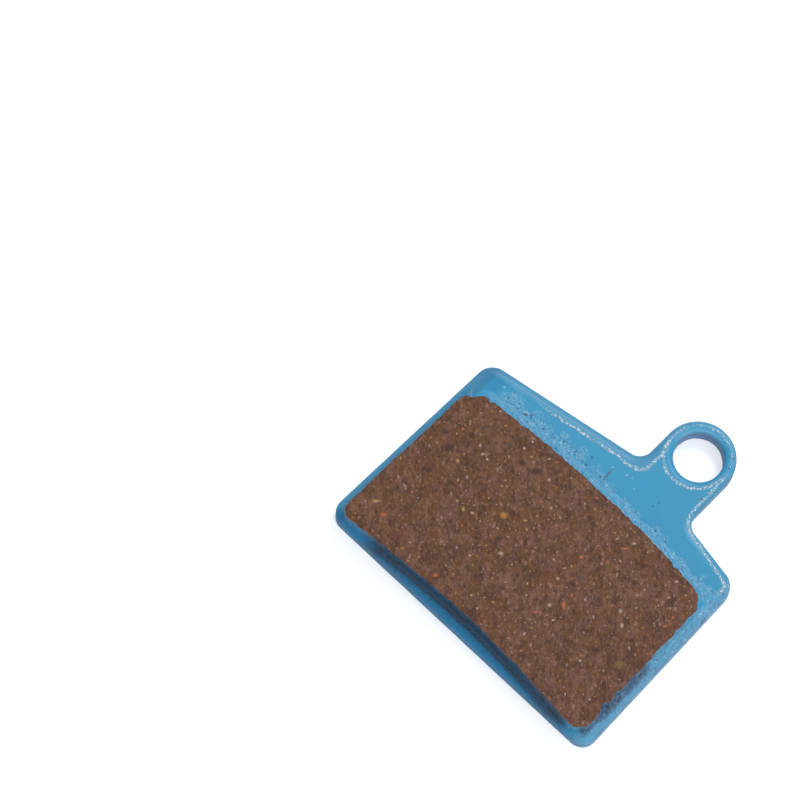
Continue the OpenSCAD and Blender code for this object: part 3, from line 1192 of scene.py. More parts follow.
class SharedEffects:
    """The node groups that more than one material uses, each built once.

    The spans of x, y and z are places in the pin hole's frame, in millimetres.
    """

    front_z: Span = (0.3, 0.9)
    band_z: Span = (1.2, 1.6)
    band_left_x: Span = (-19.0, -17.9)
    band_wide_x: Span = (-3.0, -8.0)
    band_width: Span = (0.6, 2.3)
    right_flank_x: Span = (10.3, 10.9)
    right_flank_y: Span = (-28.0, -20.0)
    hub_left_x: Span = (-17.4, -14.6)
    hub_right_x: Span = (9.6, 8.4)
    hub_narrow_x: Span = (6.5, 9.0)
    end_x: Span = (8.6, 9.6)
    end_top_y: Span = (-18.3, -19.8)
    end_foot_y: Span = (-28.8, -28.1)
    end_narrow_y: Span = (-25.0, -27.0)
    far_x: Span = (-18.0, -19.0)
    corner_ease: float = 0.9
    fillet_ease: float = 3.0
    streak_stretch: float = 0.35

    def __init__(self, block: FrictionBlock) -> None:
        """Builds the groups.

        Args:
            block: the friction block, whose foot the band and the painted shade and wear follow, on its
                plate.
        """
        self.block = block
        self.shape = block.shape
        self.arc_centre = block.arc_centre()
        self.outer_arc_r = block.inner_arc_r + block.face_h
        self.speckle = self.make_speckle()
        self.coat = self.make_coat()
        self.edges = self.make_edges()
        self.band = self.make_band()
        self.shade_and_wear = self.make_shade_and_wear()

    @staticmethod
    def begin(
        name: str, inputs: dict[str, str], outputs: dict[str, str]
    ) -> tuple[Graph, bpy.types.Node, bpy.types.Node]:
        """Starts a group.

        Args:
            name: the group's name.
            inputs: the kind of each input's socket, by name.
            outputs: the kind of each output's socket, by name.

        Returns:
            Its graph, its input node and its output node.
        """
        tree = bpy.data.node_groups.new(name, "ShaderNodeTree")
        for in_out, sockets in (("INPUT", inputs), ("OUTPUT", outputs)):
            for label, kind in sockets.items():
                tree.interface.new_socket(name=label, in_out=in_out, socket_type=f"NodeSocket{kind}")
        graph = Graph(tree)
        return graph, graph.node("NodeGroupInput"), graph.node("NodeGroupOutput")

    def make_speckle(self) -> bpy.types.NodeTree:
        """Builds a scatter of flecks.

        Returns:
            The group: a mask.
        """
        graph, given, out = self.begin(
            "speckle",
            {"Place": "Vector", "Density": "Float", "Share": "Float", "Reach": "Float"},
            {"Mask": "Float"},
        )
        cells = graph.node("ShaderNodeTexVoronoi", feature="F1")
        graph.feed(cells.inputs["Vector"], given.outputs["Place"])
        graph.feed(cells.inputs["Scale"], given.outputs["Density"])
        red, green, _ = graph.parts(cells.outputs["Color"])
        chosen = graph.math("LESS_THAN", red, given.outputs["Share"])
        radius = graph.math("MULTIPLY", given.outputs["Reach"], graph.step(green, -0.3, 1.3))
        near = graph.math("SUBTRACT", radius, cells.outputs["Distance"])
        graph.feed(out.inputs["Mask"], graph.math("MULTIPLY", chosen, graph.step(near, -0.02, 0.08)))
        return graph.tree

    def make_coat(self) -> bpy.types.NodeTree:
        """Builds the powder coat: its colour, which drifts slowly in tone, and its orange peel.

        Returns:
            The group: a colour and a height.
        """
        graph, given, out = self.begin(
            "powder_coat",
            {"Place": "Vector", "Paint": "Color", "Shade": "Color", "Peel": "Float"},
            {"Colour": "Color", "Height": "Float"},
        )
        place = given.outputs["Place"]
        drift = graph.step(graph.noise(place, 6.0, 3.0), 0.35, 0.7)
        fine = graph.step(graph.noise(place, 0.5, 3.0, 0.6), 0.3, 0.75)
        share = graph.math("ADD", graph.math("MULTIPLY", drift, 0.35), graph.math("MULTIPLY", fine, 0.18))
        graph.feed(out.inputs["Colour"], graph.mix(share, given.outputs["Paint"], given.outputs["Shade"]))
        peel = graph.math("MULTIPLY_ADD", graph.noise(place, 0.22, 2.0), 0.3, graph.noise(place, 0.9, 2.0))
        graph.feed(out.inputs["Height"], graph.math("MULTIPLY", peel, given.outputs["Peel"]))
        return graph.tree

    def make_edges(self) -> bpy.types.NodeTree:
        """Measures how far a place is from the outline, the pin hole's edge and the keying holes' centres.

        Returns:
            The group: three distances across the plate, in millimetres.
        """
        graph, given, out = self.begin(
            "plate_edges", {"Place": "Vector"}, {"Rim": "Float", "Hole": "Float", "Key": "Float"}
        )
        shape = self.shape
        x, y, _ = graph.parts(given.outputs["Place"])
        corners = [place for place, _ in shape.corners()]
        body = None
        for first, second in ((0, 1), (1, 2), (2, 3), (6, 7), (7, 0)):
            along = (corners[second] - corners[first]).normalized()
            offset = along.y * corners[first].x - along.x * corners[first].y
            across = graph.math("MULTIPLY_ADD", x, -along.y, offset)
            inside = graph.math("MULTIPLY_ADD", y, along.x, across)
            body = inside if body is None else graph.math("SMOOTH_MIN", body, inside, self.corner_ease)
        flat = graph.node("ShaderNodeCombineXYZ")
        graph.feed(flat.inputs[0], x)
        graph.feed(flat.inputs[1], graph.math("MAXIMUM", y, 0.0))
        reach = graph.vector("LENGTH", flat.outputs[0]).outputs["Value"]
        ear = graph.math("SUBTRACT", shape.ear_r, reach)
        graph.feed(out.inputs["Rim"], graph.math("SMOOTH_MAX", body, ear, self.fillet_ease))
        level = graph.level(given.outputs["Place"])
        to_hole = graph.vector("LENGTH", level).outputs["Value"]
        graph.feed(out.inputs["Hole"], graph.math("SUBTRACT", to_hole, shape.pin_hole_r))
        gaps = [graph.distance(level, centre) for centre in shape.key_centres()]
        graph.feed(out.inputs["Key"], graph.math("MINIMUM", *gaps))
        return graph.tree

    def make_band(self) -> bpy.types.NodeTree:
        """Builds the pebbled band of coat beyond the block's outer arc, with craters and rings, painted
        highlights on its crests and rims, painted shade in its hollows and pits and painted glints on its
        curls.

        Returns:
            The group: masks and a height.
        """
        graph, given, out = self.begin(
            "pebbled_band",
            {"Place": "Vector"},
            {"Band": "Float", "PaleHighlight": "Float", "Glint": "Float", "NavyShade": "Float", "Height": "Float"},
        )
        level = graph.level(given.outputs["Place"])
        x, y, z = graph.parts(given.outputs["Place"])
        away = graph.distance(level, self.arc_centre)
        beyond = graph.math("SUBTRACT", away, self.outer_arc_r)
        width = graph.step(graph.noise(level, 1.6, 3.0), 0.3, 0.7, to=self.band_width)
        width = graph.math("ADD", width, graph.step(x, *self.band_wide_x, to=(0.0, 0.9)))
        within = graph.step(graph.math("SUBTRACT", width, beyond), -0.3, 0.7)
        along_arc = graph.times(graph.step(beyond, 0.2, 0.6), within, graph.step(x, *self.band_left_x))
        downward = graph.step(y, *self.right_flank_y, to=(0.35, 0.9))
        along_end = graph.times(graph.step(x, *self.right_flank_x), downward)
        band = graph.times(graph.highest(along_arc, along_end), graph.step(z, *self.band_z))
        patches = graph.times(graph.step(graph.noise(level, 0.9, 2.0), 0.4, 0.58), band)
        cells = graph.cells(graph.warped(level, 0.3, 0.3), 0.5)
        chance, size, _ = graph.parts(cells.outputs["Color"])
        radius = graph.step(size, -0.2, 1.2, to=(0.1, 0.3))
        off = graph.math("SUBTRACT", cells.outputs["Distance"], radius)
        dots = graph.times(graph.step(off, 0.1, -0.08), graph.math("LESS_THAN", chance, 0.2), band)
        ringed = graph.step(graph.math("ABSOLUTE", graph.math("SUBTRACT", off, 0.14)), 0.14, 0.02)
        arcs = graph.step(graph.noise(level, 0.5, 2.0), 0.42, 0.56)
        rings = graph.times(ringed, graph.math("LESS_THAN", chance, 0.5), arcs, band)
        fine = graph.noise(level, 0.38, 2.0, 0.6)
        pebbles = graph.math("SUBTRACT", graph.math("ADD", fine, graph.noise(level, 0.6, 2.0)), 1.0)
        raised = graph.math("MULTIPLY_ADD", rings, 0.015, graph.times(pebbles, band, 0.12))
        drawn = graph.math("ABSOLUTE", graph.math("SUBTRACT", graph.noise(level, 0.5, 2.0, 0.6), 0.5))
        curls = graph.times(graph.step(drawn, 0.05, 0.012), patches, 0.9)
        # Painted highlights on the raised rings and crests, and painted shade in the hollows and the pits.
        crests = graph.times(graph.step(fine, 0.52, 0.64), patches, 0.6)
        hollows = graph.times(graph.step(fine, 0.46, 0.34), patches, 0.8)
        graph.feed(out.inputs["Band"], band)
        graph.feed(out.inputs["PaleHighlight"], graph.highest(rings, crests, curls))
        # Painted glints on some of the curls.
        glossy = graph.step(graph.noise(level, 0.3, 1.0), 0.56, 0.68)
        graph.feed(out.inputs["Glint"], graph.times(curls, glossy))
        graph.feed(out.inputs["NavyShade"], graph.highest(dots, hollows))
        graph.feed(out.inputs["Height"], graph.math("MULTIPLY_ADD", dots, -0.02, raised))
        return graph.tree

    def make_shade_and_wear(self) -> bpy.types.NodeTree:
        """Marks the block's foot: painted shade along the arc that faces the hub, worn patches on the lower
        right end and a darker strip along the left end.

        Returns:
            The group: masks, and the noise that breaks them up.
        """
        graph, given, out = self.begin(
            "foot_shade_and_wear",
            {"Place": "Vector"},
            {"HubShade": "Float", "End": "Float", "Far": "Float", "Grit": "Float"},
        )
        block = self.block
        place = given.outputs["Place"]
        level = graph.level(place)
        x, y, z = graph.parts(place)
        front = graph.step(z, *self.front_z)
        drawn = graph.drawn_out(place, self.streak_stretch)
        grit = graph.noise(drawn, 0.4, 4.0, 0.65)
        fine = graph.noise(place, 0.2, 2.0, 0.6)
        shift = graph.math("MULTIPLY_ADD", grit, 0.6, graph.math("MULTIPLY_ADD", fine, 0.6, -0.6))
        # Painted shade: the coat darkens towards the foot of the arc that faces the hub, where the wall
        # shades it, broken up by specks.
        away = graph.distance(level, self.arc_centre)
        hubward = graph.math("ADD", graph.math("SUBTRACT", block.inner_arc_r, away), shift)
        hubward = graph.math("ADD", hubward, graph.step(x, *self.hub_narrow_x, to=(0.0, 0.4)))
        outside = graph.step(hubward, -0.7, -0.3)
        specks = graph.step(graph.noise(drawn, 0.24, 3.0, 0.7), 0.53, 0.64)
        specks = graph.times(specks, graph.step(hubward, 1.5, 0.5), 0.75)
        hub = graph.times(graph.highest(graph.step(hubward, 0.9, 0.3), specks), outside)
        onset = graph.math("MULTIPLY_ADD", graph.noise(level, 2.0, 2.0), 2.0, x)
        hub = graph.times(hub, graph.step(onset, *self.hub_left_x), graph.step(x, *self.hub_right_x), front)
        graph.feed(out.inputs["HubShade"], hub)
        centre_line, lean = -self.shape.ear_x, self.shape.flank_lean()
        mid = block.face_y + block.face_h / 2 - self.shape.ear_h
        half = graph.math("MULTIPLY_ADD", y, -lean, block.face_w / 2 + mid * lean)
        right_out = graph.math("SUBTRACT", graph.math("SUBTRACT", x, centre_line), half)
        near = graph.math("ADD", right_out, shift)
        near = graph.math("ADD", near, graph.step(y, *self.end_narrow_y, to=(0.0, 0.3)))
        right = graph.times(graph.step(near, 0.65, 0.3), graph.step(right_out, -1.2, -0.6), front)
        lower = graph.step(graph.math("MULTIPLY_ADD", shift, 3.0, y), *self.end_top_y)
        end = graph.times(right, lower, graph.step(x, *self.end_x), graph.step(y, *self.end_foot_y))
        graph.feed(out.inputs["End"], end)
        left_out = graph.math("SUBTRACT", graph.math("SUBTRACT", centre_line, x), half)
        far = graph.step(graph.math("ADD", left_out, shift), 0.8, 0.2)
        far = graph.times(far, graph.step(left_out, -0.8, -0.3), graph.step(x, *self.far_x), front)
        graph.feed(out.inputs["Far"], far)
        graph.feed(out.inputs["Grit"], grit)
        return graph.tree


def new_material(name: str) -> tuple[bpy.types.Material, Graph, bpy.types.Node]:
    """Starts a material.

    Args:
        name: the material's name.

    Returns:
        The material, its graph and its Principled BSDF.
    """
    material = bpy.data.materials.new(name)
    material.use_nodes = True
    graph = Graph(material.node_tree)
    return material, graph, material.node_tree.nodes["Principled BSDF"]


def bump(graph: Graph, shader: bpy.types.Node, height: Socket) -> None:
    """Feeds a height to a shader's normal.

    Args:
        graph: the material's nodes.
        shader: the Principled BSDF.
        height: the height, in millimetres.
    """
    made = graph.node("ShaderNodeBump")
    graph.feed(made.inputs["Strength"], 1.0)
    graph.feed(made.inputs["Distance"], MM)
    graph.feed(made.inputs["Height"], height)
    graph.feed(shader.inputs["Normal"], made.outputs[0])


@dataclass(frozen=True)
class CoatTones:
    """The tones of the blue powder coat, which the plate and the block's walls share."""

    paint: Colour = (0.036, 0.305, 0.525)
    shade: Colour = (0.036, 0.27, 0.475)
    deep: Colour = (0.005, 0.20, 0.42)
    # Grey of the painted sheen on the rolled edge.
    sheen_grey: Colour = (0.085, 0.25, 0.42)
    pale: Colour = (0.27, 0.49, 0.65)
    glint: Colour = (0.74, 0.86, 0.93)
    navy: Colour = (0.012, 0.05, 0.15)
    # The dark blue and the charcoal below also serve as painted shade at the block's foot on the hub side.
    steel: Colour = (0.017, 0.068, 0.14)
    charcoal: Colour = (0.018, 0.032, 0.055)
    plum: Colour = (0.06, 0.085, 0.17)
    olive: Colour = (0.05, 0.05, 0.035)
    edge_purple: Colour = (0.10, 0.075, 0.16)
    rust: Colour = (0.10, 0.05, 0.03)
    roughness: float = 0.36
    specular: float = 0.34
    peel: float = 0.012
    above_back_z: Span = (0.05, 0.4)
    hub_edge: Span = (1.2, 0.5)
    hub_edge_x: Span = (10.5, 8.5)
    corner_x: Span = (-17.7, -19.2)
    corner_y: Span = (-10.5, -8.5)
    corner_z: Span = (1.4, 1.8)

    def layered(self, graph: Graph, place: Socket, effects: SharedEffects) -> tuple[Socket, Socket]:
        """Paints the coat, with the pebbled band, painted shade on the hub-side straight edge and along the
        block's foot there, the right flank made paler as painted light, and the wear and darkening at the
        block's ends.

        Args:
            graph: the material's nodes.
            place: the place on the object, in millimetres.
            effects: the shared node groups.

        Returns:
            Its colour and its height.
        """
        coat = graph.group(effects.coat, Place=place, Paint=self.paint, Shade=self.shade, Peel=self.peel)
        band = graph.group(effects.band, Place=place)
        shade_and_wear = graph.group(effects.shade_and_wear, Place=place)
        grit = shade_and_wear.outputs["Grit"]
        x, y, z = graph.parts(place)
        above = graph.step(z, *self.above_back_z)
        # Painted shade: the rolled straight edge on the hub side, turned away from the key light, is mixed
        # towards the deep tone.
        low, high = (edge - effects.shape.ear_h for edge in self.hub_edge)
        hubward = graph.times(graph.step(y, low, high), above, graph.step(x, *self.hub_edge_x))
        colour = graph.mix(hubward, coat.outputs["Colour"], self.deep)
        # Painted light: the right flank is made paler, as if lit from that side.
        flank = graph.times(graph.step(x, *effects.right_flank_x), above, 0.22)
        colour = graph.mix(flank, colour, self.pale)
        spans = ((x, self.corner_x), (y, self.corner_y), (z, self.corner_z))
        corner = graph.times(*(graph.step(value, *span) for value, span in spans), 0.5)
        colour = graph.mix(corner, colour, self.deep)
        # The band's painted highlights, painted shade and painted glints go into the colour here.
        layers = {
            "Band": (0.12, self.pale), "NavyShade": (0.6, self.navy), "PaleHighlight": (0.5, self.pale),
            "Glint": (0.7, self.glint),
        }
        for effect, (share, tone) in layers.items():
            colour = graph.mix(graph.times(band.outputs[effect], share), colour, tone)
        # Painted shade along the block's foot on the hub side, dark blue to charcoal.
        shade_tone = graph.mix(graph.step(grit, 0.42, 0.6), self.steel, self.charcoal)
        colour = graph.mix(graph.times(shade_and_wear.outputs["HubShade"], 0.95), colour, shade_tone)
        worn = graph.mix(graph.step(grit, 0.5, 0.66), self.plum, self.olive)
        patchy = graph.step(grit, 0.36, 0.5, to=(0.3, 0.85))
        colour = graph.mix(graph.times(shade_and_wear.outputs["End"], patchy), colour, worn)
        colour = graph.mix(graph.times(shade_and_wear.outputs["Far"], 0.3), colour, self.steel)
        rough_end = graph.highest(shade_and_wear.outputs["End"], shade_and_wear.outputs["HubShade"])
        lumps = graph.times(graph.math("SUBTRACT", grit, 0.5), rough_end, 0.06)
        height = graph.math("ADD", coat.outputs["Height"], band.outputs["Height"])
        return colour, graph.math("ADD", height, lumps)


@dataclass(frozen=True)
class PowderCoat:
    """Light blue powder coat on the stamping, with a gritty ridge inside its edges, painted with a highlight,
    shade and glints, and chips on the edges.
    """

    tones: CoatTones
    chip: Colour = (0.72, 0.73, 0.75)
    crescent_light: Colour = (0.24, 0.34, 0.56)
    ridge_gloss: float = 0.16
    brown_marks: tuple[Mark, ...] = (
        Mark(-5.07, -7.65, 0.9, 0.06, 97.0), Mark(3.1, -3.06, 0.14, 0.1, 30.0), Mark(2.54, 2.21, 0.1, 0.07),
        Mark(2.97, 1.15, 0.1, 0.08), Mark(-15.03, -8.75, 0.26, 0.12, 20.0),
        Mark(-17.92, -10.04, 0.22, 0.1, 100.0),
    )
    # Pale specks, and painted glints by the scratch on the shoulder.
    pale_and_glint_marks: tuple[Mark, ...] = (
        Mark(-5.24, -6.7, 0.12, 0.1), Mark(-18.44, -8.14, 0.12, 0.1), Mark(-15.1, -8.5, 0.36, 0.1, 20.0),
        Mark(-3.76, -6.36, 0.16, 0.07, 60.0), Mark(-3.17, -6.21, 0.1, 0.06, 20.0),
        Mark(-2.27, -6.89, 0.12, 0.06, 80.0),
    )
    navy_marks: tuple[Mark, ...] = (
        Mark(-14.61, -8.42, 0.13, 0.1), Mark(-12.76, -8.64, 0.12, 0.12), Mark(-7.38, -7.41, 0.12, 0.09),
        Mark(-7.33, -8.36, 0.14, 0.1), Mark(-0.06, -8.95, 0.14, 0.1), Mark(-0.56, -8.49, 0.1, 0.12),
        Mark(0.26, -6.9, 0.12, 0.05, 40.0), Mark(0.44, -6.23, 0.1, 0.05, 40.0),
        Mark(-19.9, -10.2, 0.2, 0.07, 60.0),
    )
    front_z: Span = (1.55, 1.9)
    hub_edge: Span = (1.0, 2.0)
    ridge_in: float = 0.42
    ridge_width: float = 0.3
    ridge_height: float = 0.012
    grain_height: float = 0.04
    chip_depth: float = 0.03
    ring_y: Span = (-2.0, -0.5)
    ear_left_x: Span = (0.0, -2.5)
    right_shoulder_x: Span = (6.0, 10.5)
    left_shoulder_x: Span = (-4.0, -7.0)
    ridge_left_x: Span = (-15.2, -13.6)
    ridge_foot_y: Span = (-9.5, -8.5)
    ear_top_y: Span = (0.3, 1.8)
    hole_ridge_y: Span = (1.0, -0.6)
    strands_y: Span = (-0.8, 0.6)
    strands_from: Span = (0.25, 0.4)
    strands_to: Span = (1.15, 0.95)
    wavy_line_z: float = 1.0
    upper_left_lit_z: Span = (1.45, 1.65)
    crescent_reach: Span = (0.2, 0.06)
    crescent_z: Span = (1.65, 1.4)

    def build(self, effects: SharedEffects) -> bpy.types.Material:
        """Builds the material.

        Args:
            effects: the shared node groups.

        Returns:
            The material.
        """
        tones = self.tones
        material, graph, shader = new_material("blue_powder_coat")
        place = graph.millimetres()
        _, y, z = graph.parts(place)
        colour, height = tones.layered(graph, place, effects)
        edges = graph.group(effects.edges, Place=place)
        front = graph.step(z, *self.front_z)
        line = self.ridge_line(graph, place)
        # Painted sheen: the rolled edge is greyed as if by the light it reflects, except along the straight
        # edge.
        rolled = graph.step(graph.math("SUBTRACT", edges.outputs["Rim"], line), 0.05, -0.5)
        away = graph.step(y, *(edge - effects.shape.ear_h for edge in self.hub_edge))
        colour = graph.mix(graph.times(rolled, away, 0.45), colour, tones.sheen_grey)
        colour = self.marked(graph, place, front, colour)
        band, grit, ridge = self.ridge(graph, place, edges, line, front)
        # Painted highlight along the ridge, painted shade in spots beside it, and painted glints on its grit.
        colour = graph.mix(graph.times(band, 0.3), colour, tones.pale)
        shaded = graph.times(graph.step(graph.noise(place, 0.28, 2.0), 0.47, 0.38), band, 0.45)
        colour = graph.mix(shaded, colour, tones.navy)
        colour = graph.mix(graph.times(grit, 0.8), colour, tones.glint)
        colour = graph.mix(self.strands(graph, place, edges, front), colour, tones.pale)
        # Painted highlight: the upper left of the pin hole's rolled edge is made paler.
        thick = graph.times(self.upper_left(graph, place, edges), graph.step(z, *self.upper_left_lit_z), 0.3)
        colour = graph.mix(thick, colour, tones.pale)
        # Painted light: the top of the pin hole's wall, which the light barely reaches, is lifted to a paler
        # purple-blue.
        in_hole = graph.step(edges.outputs["Hole"], *self.crescent_reach)
        in_hole = graph.times(in_hole, graph.step(z, *self.crescent_z), 0.65)
        colour = graph.mix(in_hole, colour, self.crescent_light)
        colour = graph.mix(self.purple_edging(graph, place, edges, z), colour, tones.edge_purple)
        colour = graph.mix(graph.times(self.wavy_line(graph, place, edges, z), 0.8), colour, tones.navy)
        chips = self.chips(graph, place, edges, z)
        colour = graph.mix(chips, colour, self.chip)
        gloss = graph.step(grit, 0.0, 1.0, to=(tones.roughness, self.ridge_gloss))
        graph.feed(shader.inputs["Base Color"], colour)
        graph.feed(shader.inputs["Roughness"], gloss)
        graph.feed(shader.inputs["Metallic"], graph.times(chips, 0.9))
        shader.inputs["Specular IOR Level"].default_value = tones.specular
        height = graph.math("ADD", height, ridge)
        bump(graph, shader, graph.math("MULTIPLY_ADD", chips, -self.chip_depth, height))
        return material

    def marked(self, graph: Graph, place: Socket, front: Socket, colour: Socket) -> Socket:
        """Draws the scratch, the specks and the dots of the friction side.

        Args:
            graph: the material's nodes.
            place: the place on the object, in millimetres.
            front: the mask of the friction side's flat.
            colour: the colour so far.

        Returns:
            The colour with them on it.
        """
        level = graph.level(graph.warped(place, 0.2, 0.1))
        tones = self.tones
        for marks, tone, share in (
            (self.pale_and_glint_marks, tones.pale, 0.8),
            (self.brown_marks, tones.rust, 0.75),
            (self.navy_marks, tones.navy, 0.8),
        ):
            colour = graph.mix(graph.times(graph.marks(level, marks), front, share), colour, tone)
        return colour

    def ridge_line(self, graph: Graph, place: Socket) -> Socket:
        """Runs the ridge closer to the outline along the ear, and further in on the long shoulder.

        Args:
            graph: the material's nodes.
            place: the place on the object, in millimetres.

        Returns:
            How far inside the outline it runs.
        """
        x, y, _ = graph.parts(place)
        ring = graph.step(y, *self.ring_y)
        left = graph.times(graph.step(x, *self.ear_left_x), graph.math("SUBTRACT", 1.0, ring), 0.6)
        right_shoulder = graph.step(x, *self.right_shoulder_x, to=(0.0, 0.38))
        left_shoulder = graph.step(x, *self.left_shoulder_x, to=(0.0, 0.1))
        body = graph.math("ADD", left, graph.math("ADD", right_shoulder, left_shoulder))
        return graph.math("ADD", graph.math("MULTIPLY_ADD", ring, 0.12, self.ridge_in), body)

    def ridge(
        self, graph: Graph, place: Socket, edges: bpy.types.Node, line: Socket, front: Socket
    ) -> tuple[Socket, Socket, Socket]:
        """Draws the gritty ridge inside the front edges.

        Args:
            graph: the material's nodes.
            place: the place on the object, in millimetres.
            edges: the distances to the plate's edges.
            line: how far in from the outline the ridge runs.
            front: the mask of the friction side's flat.

        Returns:
            Its mask, the mask of its grit, and its height.
        """
        x, y, _ = graph.parts(place)
        drift = graph.math("MULTIPLY_ADD", graph.noise(place, 1.0, 3.0), 0.3, -0.15)
        hole_at = graph.step(y, 0.0, -3.0, to=(0.72, 1.05))
        hole_at = graph.math("SUBTRACT", hole_at, graph.step(x, -0.5, 1.5, to=(0.0, 0.2)))
        lines = []
        for distance, at in ((edges.outputs["Rim"], line), (edges.outputs["Hole"], hole_at)):
            off = graph.math("SUBTRACT", graph.math("ADD", distance, drift), at)
            lines.append(graph.step(graph.math("ABSOLUTE", off), self.ridge_width, 0.0))
        lines[1] = graph.times(lines[1], graph.step(y, *self.hole_ridge_y))
        broken = graph.step(graph.noise(place, 2.4, 3.0), 0.3, 0.52, to=(0.4, 1.0))
        kept = graph.times(graph.step(x, *self.ridge_left_x), graph.step(y, *self.ridge_foot_y), front)
        crest = graph.highest(*lines)
        band = graph.times(crest, kept, broken, graph.step(y, *self.ear_top_y, to=(1.0, 0.6)))
        fine = graph.math("MULTIPLY_ADD", band, 0.24, graph.noise(place, 0.16, 1.0))
        drawn = graph.math("ABSOLUTE", graph.math("SUBTRACT", graph.noise(place, 0.22, 1.0), 0.5))
        curls = graph.times(graph.step(band, 0.3, 0.8), graph.step(drawn, 0.06, 0.015), 0.5)
        grains = graph.times(graph.step(fine, 0.70, 0.80), graph.step(band, 0.1, 0.35))
        grit = graph.highest(grains, curls)
        lifted = graph.math("MULTIPLY_ADD", crest, self.ridge_height, graph.times(grit, self.grain_height))
        return band, grit, lifted

    def upper_left(self, graph: Graph, place: Socket, edges: bpy.types.Node) -> Socket:
        """Marks the upper left of the pin hole's rolled edge, which is painted paler as a highlight.

        Args:
            graph: the material's nodes.
            place: the place on the object, in millimetres.
            edges: the distances to the plate's edges.

        Returns:
            The mask.
        """
        x, y, _ = graph.parts(place)
        heading = graph.step(graph.math("SUBTRACT", y, x), 0.8, 3.0)
        return graph.times(heading, graph.step(edges.outputs["Hole"], 0.45, 0.15))

    def strands(self, graph: Graph, place: Socket, edges: bpy.types.Node, front: Socket) -> Socket:
        """Draws the fine pale arcs in the coat round the top of the ear.

        Args:
            graph: the material's nodes.
            place: the place on the object, in millimetres.
            edges: the distances to the plate's edges.
            front: the mask of the friction side's flat.

        Returns:
            Their mask.
        """
        _, y, _ = graph.parts(place)
        drift = graph.math("MULTIPLY_ADD", graph.noise(place, 0.9, 2.0), 0.5, edges.outputs["Hole"])
        wave = graph.math("SINE", graph.times(drift, 26.0))
        broken = graph.step(graph.noise(place, 0.8, 2.0), 0.45, 0.6)
        spans = (self.strands_from, self.strands_to)
        between = graph.times(*(graph.step(edges.outputs["Hole"], *span) for span in spans))
        over_top = graph.step(y, *self.strands_y)
        return graph.times(graph.step(wave, 0.3, 0.9), between, broken, over_top, front, 0.5)

    def purple_edging(self, graph: Graph, place: Socket, edges: bpy.types.Node, z: Socket) -> Socket:
        """Tints the stamping's wall purplish in patches: faintly up its side, and more along the top and the
        foot of the outline's edge.

        Args:
            graph: the material's nodes.
            place: the place on the object, in millimetres.
            edges: the distances to the plate's edges.
            z: the place's height.

        Returns:
            The mask.
        """
        patchy = graph.step(graph.noise(place, 1.1, 3.0), 0.35, 0.7)
        outer = graph.step(edges.outputs["Rim"], 0.16, 0.04)
        wall = graph.times(graph.step(z, 1.6, 1.0), graph.step(z, 0.02, 0.06), patchy, 0.2)
        top = graph.times(outer, graph.step(z, 1.2, 1.5), patchy, 0.5)
        return graph.highest(wall, top, graph.times(outer, graph.step(z, 0.2, 0.05), patchy, 0.25))

    def wavy_line(self, graph: Graph, place: Socket, edges: bpy.types.Node, z: Socket) -> Socket:
        """Draws the dark wavy line where the coat ends in the pin hole.

        Args:
            graph: the material's nodes.
            place: the place on the object, in millimetres.
            edges: the distances to the plate's edges.
            z: the place's height.

        Returns:
            Its mask.
        """
        height = graph.math("MULTIPLY_ADD", graph.noise(place, 1.0, 2.0), 0.5, self.wavy_line_z)
        line = graph.step(graph.math("ABSOLUTE", graph.math("SUBTRACT", z, height)), 0.1, 0.03)
        return graph.times(line, graph.step(edges.outputs["Hole"], 0.2, 0.1))

    def chips(self, graph: Graph, place: Socket, edges: bpy.types.Node, z: Socket) -> Socket:
        """Draws the chips along the sharp back edge.

        Args:
            graph: the material's nodes.
            place: the place on the object, in millimetres.
            edges: the distances to the plate's edges.
            z: the place's height.

        Returns:
            Their mask.
        """
        off = graph.math("MINIMUM", edges.outputs["Rim"], graph.math("ADD", edges.outputs["Hole"], 0.05))
        near = graph.times(graph.step(off, 0.4, 0.02), graph.step(z, 0.45, 0.02))
        grit = graph.math("MULTIPLY_ADD", near, 0.22, graph.noise(place, 0.22, 3.0, 0.6))
        patchy = graph.step(graph.noise(place, 3.5, 2.0), 0.42, 0.6)
        return graph.times(graph.step(grit, 0.66, 0.72), patchy, graph.step(near, 0.0, 0.3))


